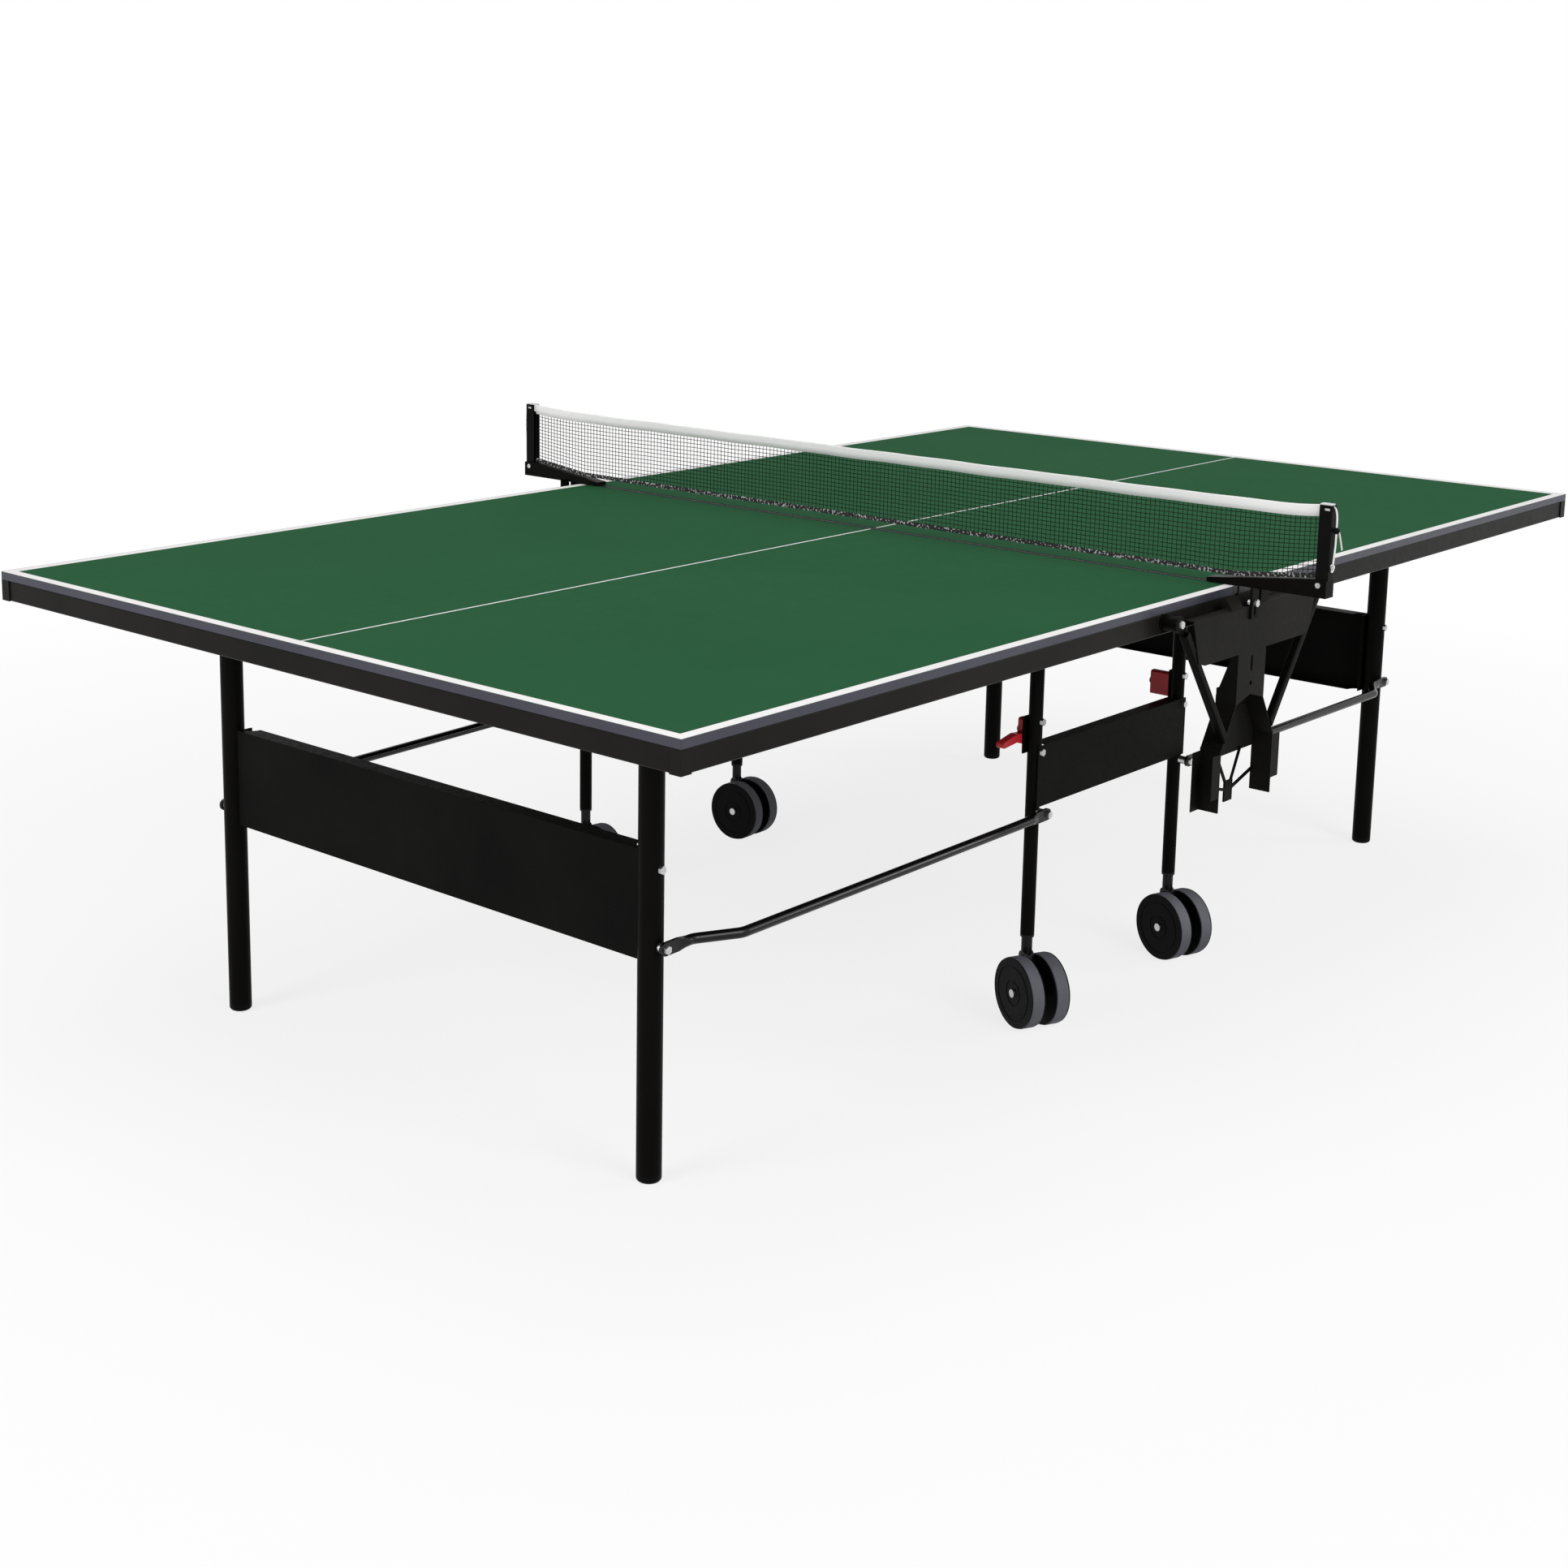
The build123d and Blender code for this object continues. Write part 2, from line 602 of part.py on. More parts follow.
# Truss plates: trapezoid sheets with a top flange turned in and a small ear leaning over it
with BuildPart() as truss_plates:
    for side in SIDES.values():
        right_half = [(PLATE_HALF_BOTTOM - PLATE_FOOT_RUN, plate_bottom),
                      (PLATE_HALF_BOTTOM, plate_bottom + PLATE_FOOT_CHAMFER), (PLATE_HALF_TOP, plate_top)]
        sheet(right_half + [(-x, z) for x, z in reversed(right_half)], strut_outside, SHEET, side)
        ear_lean = radians(PLATE_EAR_LEAN)
        ear_root = Plane(origin=(-PLATE_EAR_X, side * (strut_outside + SHEET / 2), plate_top - SHEET),
                         x_dir=(1, 0, 0), z_dir=(0, side * cos(ear_lean), sin(ear_lean)))
        with BuildSketch(ear_root):
            with Locations((0, -side * PLATE_EAR_LENGTH / 2)):
                Rectangle(PLATE_EAR_WIDTH, PLATE_EAR_LENGTH)
        extrude(amount=SHEET)
        for end in ENDS.values():
            block((end * PLATE_NOTCH_HALF, end * PLATE_FLANGE_HALF),
                  (side * (strut_outside - PLATE_FLANGE), side * (strut_outside + SHEET / 2)),
                  (plate_top - SHEET, plate_top))
save(truss_plates, "truss_plates")

# Struts: square tubes from an eye on each axle end down to the flared side of the yoke
with BuildPart() as truss_struts:
    for end_name, end, side_name, side in CORNERS:
        eye = Vector(end * PIVOT_X, side * strut_row, pivot_z)
        foot = Vector(end * STRUT_FOOT_X, side * strut_row, TABLE_HEIGHT - STRUT_FOOT_DROP)
        along = (foot - eye).normalized()
        start = eye + along * (STRUT_EYE_RADIUS + STRUT_SIZE / 2)
        with BuildSketch(Plane(origin=start, x_dir=(0, 1, 0), z_dir=along)):
            tube_section(STRUT_SIZE, STRUT_SIZE)
        extrude(amount=(foot - start).length + STRUT_OVERRUN)
        with BuildSketch(Plane(origin=(eye.X, side * strut_eye_row, eye.Z), x_dir=along, z_dir=(0, side, 0))):
            Circle(STRUT_EYE_RADIUS)
            with Locations((STRUT_EYE_RADIUS + STRUT_SIZE / 2, 0)):
                Rectangle(2 * STRUT_EYE_RADIUS, STRUT_SIZE)
            Circle(bolt_radius, mode=Mode.SUBTRACT)
        extrude(amount=STRUT_EYE)
        seat_top = end * (POST_HALF + WELD_GAP)
        seat_foot = end * (BELL_HALF + WELD_GAP)
        sheet([(0, post_foot), (seat_top, post_foot), (seat_foot, bell_bottom), (0, bell_bottom)],
              strut_row - STRUT_SIZE, 2 * STRUT_SIZE, side, mode=Mode.SUBTRACT)
save(truss_struts, "truss_struts")

# Yokes: a stem whose sides deepen downwards, notched over a flared open-fronted bell with two prongs
with BuildPart() as center_yokes:
    for side in SIDES.values():
        web_y = yoke_y - YOKE_SHEET
        sheet([(-POST_HALF, yoke_top), (POST_HALF, yoke_top), (POST_HALF, post_foot),
               (0, post_foot + ARCH_RISE), (-POST_HALF, post_foot)], web_y, YOKE_SHEET, side)
        back_half = POST_HALF - YOKE_SHEET / 2
        flare_half = BELL_HALF - YOKE_SHEET / 2
        prong_wall = PRONG_X - YOKE_SHEET / 2
        back = [(back_half, post_foot + BELL_BACK_RISE), (back_half, post_foot), (flare_half, bell_bottom),
                (prong_wall, bell_bottom), (prong_wall, bell_bottom - BELL_SKIRT)]
        sheet(back + [(-x, z) for x, z in reversed(back)], bell_back, YOKE_SHEET, side)
        for end in ENDS.values():
            with BuildSketch(Plane.YZ.offset(end * POST_HALF)):
                with BuildLine():
                    Polyline((side * yoke_y, yoke_top), (side * yoke_y, post_foot),
                             (side * bell_back, post_foot),
                             (side * bell_back, post_foot + BELL_BACK_RISE / 2),
                             (side * (yoke_y - POST_DEPTH), plate_bottom),
                             (side * (yoke_y - POST_DEPTH), yoke_top), close=True)
                make_face()
            extrude(amount=-end * YOKE_SHEET)
            flare = [(POST_HALF, post_foot), (BELL_HALF, bell_bottom), (BELL_HALF - YOKE_SHEET, bell_bottom),
                     (POST_HALF - YOKE_SHEET, post_foot)]
            sheet([(end * x, z) for x, z in flare], bell_back, BELL_DEPTH, side)
            web_x = (end * (PRONG_X - YOKE_SHEET), end * PRONG_X)
            prong_top = bell_bottom + 2 * YOKE_SHEET
            prong_bottom = prong_top - PRONG_LENGTH
            outer_lip = bell_back + PRONG_WIDTH
            block(web_x, (side * bell_back, side * outer_lip), (prong_bottom, prong_top))
            block((web_x[0], web_x[1] + end * PRONG_LIP), (side * bell_back, side * (bell_back + YOKE_SHEET)),
                  (prong_bottom, bell_bottom - YOKE_SHEET))
            block((web_x[0], web_x[1] + end * PRONG_LIP), (side * outer_lip, side * (outer_lip - YOKE_SHEET)),
                  (prong_bottom + PRONG_LIP_RISE, bell_bottom - YOKE_SHEET))
        with BuildSketch(side_plane(side * yoke_y)):
            with Locations((0, TABLE_HEIGHT - SLOT_DROP)):
                SlotOverall(SLOT_LENGTH, SLOT_WIDTH, rotation=90)
            with Locations((0, TABLE_HEIGHT - YOKE_HOLE_DROP)):
                Circle(YOKE_HOLE)
        extrude(amount=side * YOKE_SHEET, mode=Mode.SUBTRACT)
save(center_yokes, "center_yokes")

# Ties: a hub plate held by four flat straps between the prongs and the back of each bell
with BuildPart() as yoke_ties:
    hub_z = TABLE_HEIGHT - HUB_DROP
    for side in SIDES.values():
        block((HUB_X - HUB_WIDTH / 2, HUB_X + HUB_WIDTH / 2),
              (side * tie_row, side * (tie_row + STRAP_THICKNESS)),
              (hub_z - HUB_HEIGHT / 2, hub_z + HUB_HEIGHT / 2))
        hub_middle = Vector(HUB_X, side * (tie_row + STRAP_THICKNESS / 2), hub_z)
        for end in ENDS.values():
            prong_face = PRONG_X - YOKE_SHEET - STRAP_RELIEF
            for strap_x, drop in ((STRAP_BELL_X, STRAP_BELL_DROP), (prong_face, STRAP_PRONG_DROP)):
                along = Vector(end * strap_x, hub_middle.Y, TABLE_HEIGHT - drop) - hub_middle
                with BuildSketch(Plane(origin=hub_middle, x_dir=along.cross(Vector(0, 1, 0)), z_dir=along)):
                    Rectangle(STRAP_WIDTH, STRAP_THICKNESS)
                extrude(amount=along.length)
save(yoke_ties, "yoke_ties")

# Net arms: inverted channels over the table edge, each with a slotted stem and a block before its truss plate
with BuildPart() as net_arms:
    for side in SIDES.values():
        head_start = post_outside - ARM_HEAD_LENGTH
        outline = [(arm_tip_row, arm_bottom), (post_outside, arm_bottom), (post_outside, arm_head_z),
                   (head_start, arm_head_z), (arm_tip_row, arm_bottom + ARM_TIP_DEPTH)]
        cavity = [(arm_tip_row + ARM_WALL, arm_bottom), (post_outside - ARM_WALL, arm_bottom),
                  (post_outside - ARM_WALL, arm_head_z - ARM_WALL), (head_start, arm_head_z - ARM_WALL),
                  (arm_tip_row + ARM_WALL, arm_bottom + ARM_TIP_DEPTH - ARM_WALL)]
        inside_width = ARM_WIDTH - 2 * ARM_WALL
        for profile, width, mode in ((outline, ARM_WIDTH, Mode.ADD), (cavity, inside_width, Mode.SUBTRACT)):
            with BuildSketch(Plane.YZ.offset(-width / 2)):
                with BuildLine():
                    Polyline(*[(side * y, z) for y, z in profile], close=True)
                make_face()
            extrude(amount=width, mode=mode)
        stem_top = arm_bottom + 2 * ARM_WALL
        block((-STEM_NEAR - STEM_WIDTH, -STEM_NEAR), (side * stem_y, side * stem_front),
              (TABLE_HEIGHT - STEM_DROP, stem_top))
        block((STEM_NEAR / 2, STEM_NEAR / 2 + STEM_BLOCK), (side * stem_y, side * stem_front),
              (TABLE_HEIGHT - STEM_BLOCK_DROP, stem_top))
        with BuildSketch(side_plane(side * stem_front)):
            with Locations((stem_middle, TABLE_HEIGHT - STEM_SLOT_DROP)):
                SlotOverall(STEM_SLOT, STEM_SLOT_WIDTH, rotation=90)
            with Locations((stem_middle, stem_screw_z)):
                Circle(bolt_radius)
        extrude(amount=side * STEM_SHEET, mode=Mode.SUBTRACT)
        arm_screw = (side * (post_outside - ARM_SCREW_INSET), arm_head_z - ARM_SCREW_DROP)
        bar((-ARM_WIDTH / 2, *arm_screw), (ARM_WIDTH / 2, *arm_screw), ARM_SCREW / 2, mode=Mode.SUBTRACT)
save(net_arms, "net_arms")

# Net posts: channels open towards the net, slotted and windowed at the top, and the near cord's lock ball
cap_top = net_top + CAP_RISE
cord_z = cap_top - CORD_DIAMETER / 2
cord_fall = post_outside + CORD_REACH
with BuildPart() as net_posts:
    for side in SIDES.values():
        half_width = NET_POST_WIDTH / 2
        hollow = half_width - NET_POST_WALL
        block((-half_width, half_width), (side * post_row, side * post_outside), (arm_head_z, net_top))
        block((-hollow, hollow), (side * post_row, side * (post_outside - NET_POST_WALL)),
              (arm_head_z, net_top), mode=Mode.SUBTRACT)
        block((-CAP_SLOT / 2, CAP_SLOT / 2), (side * post_row, side * post_outside),
              (net_top - CAP_SLOT_DROP, net_top), mode=Mode.SUBTRACT)
        block((-half_width, half_width),
              (side * (post_row + 2 * CAP_WINDOW_MARGIN), side * (post_outside - CAP_WINDOW_MARGIN)),
              (net_top - CAP_WINDOW_DROP - CAP_WINDOW, net_top - CAP_WINDOW_DROP), mode=Mode.SUBTRACT)
    with Locations((0, -cord_fall, lock_z)):
        Sphere(LOCK_RADIUS)
    bar((0, -cord_fall, lock_z - LOCK_RADIUS), (0, -cord_fall, lock_z + LOCK_RADIUS),
        CORD_DIAMETER / 2 + SIDE_CLEARANCE, mode=Mode.SUBTRACT)
save(net_posts, "net_posts")

# A white grooved plug in the top of each post
with BuildPart() as post_fittings:
    for side in SIDES.values():
        hollow = NET_POST_WIDTH / 2 - NET_POST_WALL - RUNNING_CLEARANCE
        plug_end = post_outside - NET_POST_WALL - RUNNING_CLEARANCE
        slot = (-CAP_SLOT / 2, CAP_SLOT / 2)
        block((-hollow, hollow), (side * post_row, side * plug_end), (net_top - CAP_DEPTH, cap_top))
        block(slot, (side * post_row, side * plug_end), (cord_z - CAP_SLOT / 2, cap_top), mode=Mode.SUBTRACT)
        block(slot, (side * (post_row + post_outside) / 2, side * plug_end),
              (net_top - CAP_SLOT_DROP, cap_top), mode=Mode.SUBTRACT)
save(post_fittings, "post_fittings")

# The net is one pierced sheet with a plain hem, hung from its tape and cut to clear the arms
net_head = net_top - TAPE_HEIGHT
arm_slope = (arm_head_z - arm_bottom - ARM_TIP_DEPTH) / (post_outside - ARM_HEAD_LENGTH - arm_tip_row)
net_corner_y = arm_tip_row + (net_bottom - NET_CLEARANCE - arm_bottom - ARM_TIP_DEPTH) / arm_slope
net_shoulder_y = post_outside - ARM_HEAD_LENGTH
net_shoulder_z = arm_head_z + NET_CLEARANCE
with BuildPart() as net:
    mesh_bottom = net_bottom + NET_HEM
    pitch_y = 2 * post_row / NET_COLUMNS
    pitch_z = (net_head - mesh_bottom) / NET_ROWS
    gap = (pitch_y - NET_STRAND, pitch_z - NET_STRAND)
    low_columns = 2 * int(net_corner_y / pitch_y)
    with BuildSketch(Plane.YZ.offset(-NET_SHEET / 2)):
        with BuildLine():
            right_edge = [(net_corner_y, net_bottom), (net_shoulder_y, net_shoulder_z),
                          (post_row, net_shoulder_z), (post_row, net_head)]
            left_edge = [(-y, z) for y, z in reversed(right_edge)]
            Polyline(*right_edge, *left_edge, close=True)
        make_face()
        with Locations((0, mesh_bottom + pitch_z / 2)):
            with GridLocations(pitch_y, pitch_z, low_columns, 1):
                Rectangle(*gap, mode=Mode.SUBTRACT)
        with Locations((0, (mesh_bottom + pitch_z + net_head) / 2)):
            with GridLocations(pitch_y, pitch_z, NET_COLUMNS, NET_ROWS - 1):
                Rectangle(*gap, mode=Mode.SUBTRACT)
    extrude(amount=NET_SHEET)
save(net, "net")

with BuildPart() as net_tape:
    block((-TAPE_THICKNESS / 2, TAPE_THICKNESS / 2), (-post_row, post_row), (net_head, net_top))
    fillet(net_tape.edges().filter_by(Axis.Y).group_by(Axis.Z)[-1], TAPE_THICKNESS / 3)
save(net_tape, "net_tape")


def cord_bends(points):
    """The largest easy bend radius at each inner point: tangents take under half of the shorter run."""
    radii = []
    for before, corner, after in zip(points, points[1:], points[2:]):
        run_in = Vector(*corner) - Vector(*before)
        run_out = Vector(*after) - Vector(*corner)
        turn = radians(run_in.get_angle(run_out))
        radii.append(BEND_SHARE * min(run_in.length, run_out.length) / tan(turn / 2))
    return radii


def cord(points, name):
    """A cord along a route of straight runs joined by tangent bends."""
    radii = cord_bends(points)
    with BuildPart() as strand:
        with BuildLine() as route:
            FilletPolyline(*points, radius=radii)
        with BuildSketch(Plane(origin=route.line @ 0, z_dir=route.line % 0)):
            Circle(CORD_DIAMETER / 2)
        sweep()
    save(strand, name)
    length = sum(edge.length for edge in route.edges())
    section_area = pi * CORD_DIAMETER**2 / 4
    volume_ratio = strand.part.volume / (section_area * length)
    print(name, "length", round(length, 1), "volume ratio", round(volume_ratio, 3),
          "bends", [round(radius, 1) for radius in radii])


# Cords: over each post in the plug's groove and down its outer face; the near one has a lock and a loose tail
cord_start = post_row + WELD_GAP
cord_edge = post_outside - NET_POST_WALL * 2
cord_foot = post_outside + CORD_DIAMETER / 2 + NET_POST_WALL / 2
cord(
    [
        (0, -cord_start, cord_z),
        (0, -cord_edge, cord_z),
        (0, -cord_fall, cord_z - CORD_SHOULDER),
        (0, -cord_fall, lock_z - LOCK_RADIUS),
        (CORD_BOW / 2, 1 - cord_fall, (lock_z + cord_foot_z) / 2),
        (0, -cord_foot, cord_foot_z),
    ],
    "net_cord_near",
)
cord(
    [
        (0, cord_start, cord_z),
        (0, cord_edge, cord_z),
        (0, cord_fall, cord_z - CORD_SHOULDER),
        (0, cord_fall + CORD_BOW, lock_z),
        (0, cord_fall + CORD_BOW / 2, (lock_z + cord_foot_z) / 2),
        (0, cord_foot, cord_foot_z),
    ],
    "net_cord_far",
)
cord(
    [
        (LOCK_RADIUS + CORD_DIAMETER / 2 + WELD_GAP, -cord_fall, lock_z - WELD_GAP),
        (2 * LOCK_RADIUS, -cord_fall - CORD_BOW / 2, lock_z - 2 * LOCK_RADIUS),
        (3 * LOCK_RADIUS, -cord_fall - CORD_BOW, lock_z - 6 * LOCK_RADIUS),
    ],
    "net_cord_tail",
)

# Latches: a plate with a headed pin on the inner side of each wheel leg, and a lever that turns on the pin
plate_inside = wheel_leg_inside - LATCH_PLATE
lever_outer = plate_inside - SIDE_CLEARANCE
with BuildPart() as latch_brackets:
    for end_name, end, side_name, side in CORNERS:
        block((end * (PIVOT_X - LATCH_INBOARD), end * (PIVOT_X + LATCH_OUTBOARD)),
              (side * wheel_leg_inside, side * plate_inside), (LATCH_BOTTOM, LATCH_TOP))
        pivot_x = end * PIVOT_X
        pin_end = lever_outer - LEVER_WIDTH[end_name] - SIDE_CLEARANCE
        pin_head = (pivot_x, side * (pin_end - LATCH_PIN_HEAD), LEVER_PIVOT_Z)
        bar(pin_head, (pivot_x, side * plate_inside, LEVER_PIVOT_Z), LATCH_PIN / 2)
        bar(pin_head, (pivot_x, side * pin_end, LEVER_PIVOT_Z), LATCH_PIN)
        bore(pivot_x, LATCH_BOLT_Z, side * wheel_leg_inside, side * plate_inside, bolt_radius)
save(latch_brackets, "latch_brackets")

for end_name, end, side_name, side in CORNERS:
    with BuildPart() as latch_lever:
        width = LEVER_WIDTH[end_name]
        tab = LEVER_TAB[end_name]
        tab_top = -LEVER_WAIST + LEVER_TAB_THICKNESS / 2
        profile = [(-LEVER_HALF, LEVER_RISE), (LEVER_HALF, LEVER_RISE),
                   (LEVER_HALF, tab_top - LEVER_WAIST / 4), (LEVER_HUMP, tab_top),
                   (tab, tab_top - LEVER_WAIST), (tab, tab_top - LEVER_WAIST - LEVER_TAB_THICKNESS),
                   (LEVER_HUMP, tab_top - LEVER_WAIST / 2 - LEVER_TAB_THICKNESS),
                   (LEVER_HALF, -LEVER_HEEL), (-LEVER_HALF, -LEVER_HEEL)]
        with BuildSketch(side_plane(side * (lever_outer - width))):
            with BuildLine():
                Polyline(*[(end * (PIVOT_X + u), LEVER_PIVOT_Z + v) for u, v in profile], close=True)
            lever_face = make_face()
            fillet(lever_face.vertices(), LEVER_ROUND)
            with Locations((end * PIVOT_X, LEVER_PIVOT_Z)):
                Circle(LATCH_PIN / 2 + RUNNING_CLEARANCE, mode=Mode.SUBTRACT)
        extrude(amount=-side * width)
    save(latch_lever, f"latch_lever_{end_name}_{side_name}")

# Trolley fasteners: panel and latch bolts, rod pivots on spacers, axle end plugs, net stem screws
with BuildPart() as trolley_bolts:
    for end_name, end, side_name, side in CORNERS:
        pivot_x = end * PIVOT_X
        bolt(side, pivot_x, SIDE_PANEL_BOLT_Z, wheel_leg_outside + SHEET, WHEEL_LEG_DIAMETER + SHEET)
        bolt(side, pivot_x, LATCH_BOLT_Z, wheel_leg_outside, WHEEL_LEG_DIAMETER + LATCH_PLATE)
        rod_seat = rod_row_trolley + ROD_FLAT / 2 + SIDE_CLEARANCE
        spacer_end = rod_row_trolley - ROD_FLAT / 2 - SIDE_CLEARANCE
        bolt(side, pivot_x, ROD_PIVOT_Z, rod_seat, rod_seat - wheel_leg_inside)
        bar((pivot_x, side * wheel_leg_outside, ROD_PIVOT_Z), (pivot_x, side * spacer_end, ROD_PIVOT_Z),
            SPACER_DIAMETER / 2)
        bolt(side, pivot_x, pivot_z, strut_eye_row + STRUT_EYE, STRUT_EYE + 2 * RUNNING_CLEARANCE)
        bar((pivot_x, side * strut_eye_row, pivot_z), (pivot_x, side * (strut_eye_row - AXLE_PLUG), pivot_z),
            AXLE_DIAMETER / 2 - AXLE_WALL - RUNNING_CLEARANCE)
    for side in SIDES.values():
        bolt(side, stem_middle, stem_screw_z, stem_front, STEM_SHEET + BOLT_DIAMETER)
        arm_screw = (side * (post_outside - ARM_SCREW_INSET), arm_head_z - ARM_SCREW_DROP)
        screw_half = ARM_WIDTH / 2
        bar((-screw_half, *arm_screw), (screw_half, *arm_screw), ARM_SCREW / 2)
        for end in ENDS.values():
            bar((end * screw_half, *arm_screw), (end * (screw_half + ARM_SCREW_HEAD_HEIGHT), *arm_screw),
                ARM_SCREW_HEAD / 2)
save(trolley_bolts, "trolley_bolts")

# Castors: each stands turned by its own yaw, trailing behind its stem
for end_name, end, side_name, side in CORNERS:
    corner = f"{end_name}_{side_name}"
    yaw = radians(CASTOR_YAW[corner])
    swivel = Plane(origin=(end * PIVOT_X, side * wheel_leg_row, 0), x_dir=(cos(yaw), -sin(yaw), 0),
                   z_dir=(0, 0, 1))
    hub = (-WHEEL_TRAIL, wheel_radius)

    def place(across, along, up):
        """A point of this castor: across on its axle, along its rolling way, up from the floor."""
        return tuple(swivel.from_local_coords(Vector(across, along, up)))

    with BuildPart() as castor_fork:
        fork_face = Plane(origin=place(-FORK_WIDTH / 2, 0, 0), x_dir=swivel.y_dir, z_dir=swivel.x_dir)
        with BuildSketch(fork_face):
            with Locations(hub):
                Circle(FORK_HUB_DIAMETER / 2)
            with Locations((0, FORK_HEAD_Z)):
                Circle(FORK_HEAD_DIAMETER / 2)
            make_hull()
            with Locations(hub):
                Circle(AXLE_PIN / 2, mode=Mode.SUBTRACT)
        extrude(amount=FORK_WIDTH)
        bar(place(0, 0, FORK_HEAD_Z), place(0, 0, WHEEL_LEG_BOTTOM - SOCKET_FLANGE - SIDE_CLEARANCE),
            FORK_HEAD_DIAMETER / 2)
        bar(place(0, 0, FORK_HEAD_Z), place(0, 0, WHEEL_LEG_BOTTOM + SOCKET_LENGTH), STEM_DIAMETER / 2)
    save(castor_fork, f"castor_fork_{corner}")

    with BuildPart() as castor_wheels:
        rim = wheel_radius - TYRE_THICKNESS
        for hand in (-1, 1):
            start = place(hand * wheel_inner, *hub)
            finish = place(hand * wheel_outer, *hub)
            hub_hole = AXLE_PIN / 2 + RUNNING_CLEARANCE
            bar(start, finish, rim, hub_hole)
            for flange_at in (wheel_inner, wheel_outer - TYRE_INSET):
                bar(place(hand * flange_at, *hub), place(hand * (flange_at + TYRE_INSET), *hub),
                    wheel_radius - TYRE_PROUD, hub_hole)
            groove_floor = place(hand * (wheel_outer - RIM_GROOVE), *hub)
            for outer_share, inner_share in RIM_GROOVE_EDGES:
                bar(groove_floor, finish, outer_share * rim, inner_share * rim, mode=Mode.SUBTRACT)
    save(castor_wheels, f"castor_wheels_{corner}")

    with BuildPart() as castor_tyres:
        for hand in (-1, 1):
            bar(place(hand * (wheel_inner + TYRE_INSET), *hub),
                place(hand * (wheel_outer - TYRE_INSET), *hub),
                wheel_radius, wheel_radius - TYRE_THICKNESS)
        fillet(castor_tyres.edges().filter_by(GeomType.CIRCLE).group_by(SortBy.RADIUS)[-1], TYRE_INSET)
    save(castor_tyres, f"castor_tyres_{corner}")

    with BuildPart() as castor_axle:
        head_seat = wheel_outer + WHEEL_PLAY / 2
        bar(place(-head_seat, *hub), place(head_seat, *hub), AXLE_PIN / 2)
        for hand in (-1, 1):
            bar(place(hand * head_seat, *hub), place(hand * (head_seat + AXLE_PIN_HEAD_HEIGHT), *hub),
                AXLE_PIN_HEAD / 2)
    save(castor_axle, f"castor_axle_{corner}")
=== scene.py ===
"""Dresses the folding table tennis table: paint, steel, plastic, the woven net, its tape and cords."""

from math import cos, exp, pi, sin

import bmesh
import bpy
from mathutils import Matrix, Vector


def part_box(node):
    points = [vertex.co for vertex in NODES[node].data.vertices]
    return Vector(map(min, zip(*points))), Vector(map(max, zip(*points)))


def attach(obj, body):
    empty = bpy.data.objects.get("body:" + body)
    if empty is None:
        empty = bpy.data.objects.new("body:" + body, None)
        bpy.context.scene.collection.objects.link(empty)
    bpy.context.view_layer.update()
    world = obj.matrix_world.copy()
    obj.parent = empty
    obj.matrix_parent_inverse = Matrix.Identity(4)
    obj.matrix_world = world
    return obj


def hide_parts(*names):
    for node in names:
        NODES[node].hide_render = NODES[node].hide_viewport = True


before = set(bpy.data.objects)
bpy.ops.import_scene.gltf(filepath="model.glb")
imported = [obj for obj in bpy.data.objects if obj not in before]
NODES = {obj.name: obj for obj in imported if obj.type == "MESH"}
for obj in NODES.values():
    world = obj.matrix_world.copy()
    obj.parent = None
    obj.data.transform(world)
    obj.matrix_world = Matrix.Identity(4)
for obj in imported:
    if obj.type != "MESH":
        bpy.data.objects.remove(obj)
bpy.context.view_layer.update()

# Camera, fitted to the table's known corners; the image is IMAGE_SIZE pixels each way
IMAGE_SIZE = 1932
SENSOR_WIDTH = 36.0
FOCAL_PIXELS = 2866.574
CENTRE_PIXEL = (854.504, 705.523)
CAMERA_PLACE = Vector((-3.415697, -2.617730, 1.505730))
CAMERA_YAW = 0.732
CAMERA_PITCH = -0.192
CAMERA_ROLL = 0.011

# Painted lines on the playing surface, and painted shade along the seam where the halves meet, metres
TABLE_END = 1.370
TABLE_SIDE = 0.7625
EDGE_LINE = 0.020
CENTRE_LINE = 0.0042
PAINT_DEPTH = 0.0005
TOP_SEAM_SHADE_HALF = 0.009
TRIM_SEAM_SHADE_HALF = 0.02

# Coats: scale of the slow colour drift, and how the gloss and the fine grain vary over it
DRIFT_SCALE = 6.0
FINE_DETAIL = 2.0
GLOSS_SPREAD = 0.06
GRAINS_PER_GLOSS_PATCH = 8
COAT_BUMP = 0.35
CLOTH_PATCH_SCALE = 200.0
CLOTH_ROUGHNESS = (0.75, 0.95)
CLOTH_BUMP = 0.4

# Net, metres: a fine grid, hung with a slight sway and tucked into the tape
MESH_WIDTH = 0.009
MESH_HEIGHT = 0.0081
THREAD = 0.0017
NET_CORNER = 0.758
NET_SHOULDER = 0.896
NET_SHOULDER_RISE = 0.016
NET_SWAY = 0.0004
NET_SWAY_RATE = 7
NET_TUCK = 0.002

# Hem and tape, metres: folded bands along the net, the tape dipping from the posts with a faint ripple
HEM_HEIGHT = 0.008
HEM_THICKNESS = 0.0024
TAPE_THICKNESS = 0.0032
TAPE_DIP = 0.006
TAPE_LIFT_LENGTH = 0.05
TAPE_RIPPLE = 0.0006
TAPE_RIPPLE_RATES = (31, 11)
TAPE_RIPPLE_SHIFT = 1
BAND_STATIONS = 180
BAND_STEPS = 6
BAND_FOOT_SHARE = 0.9

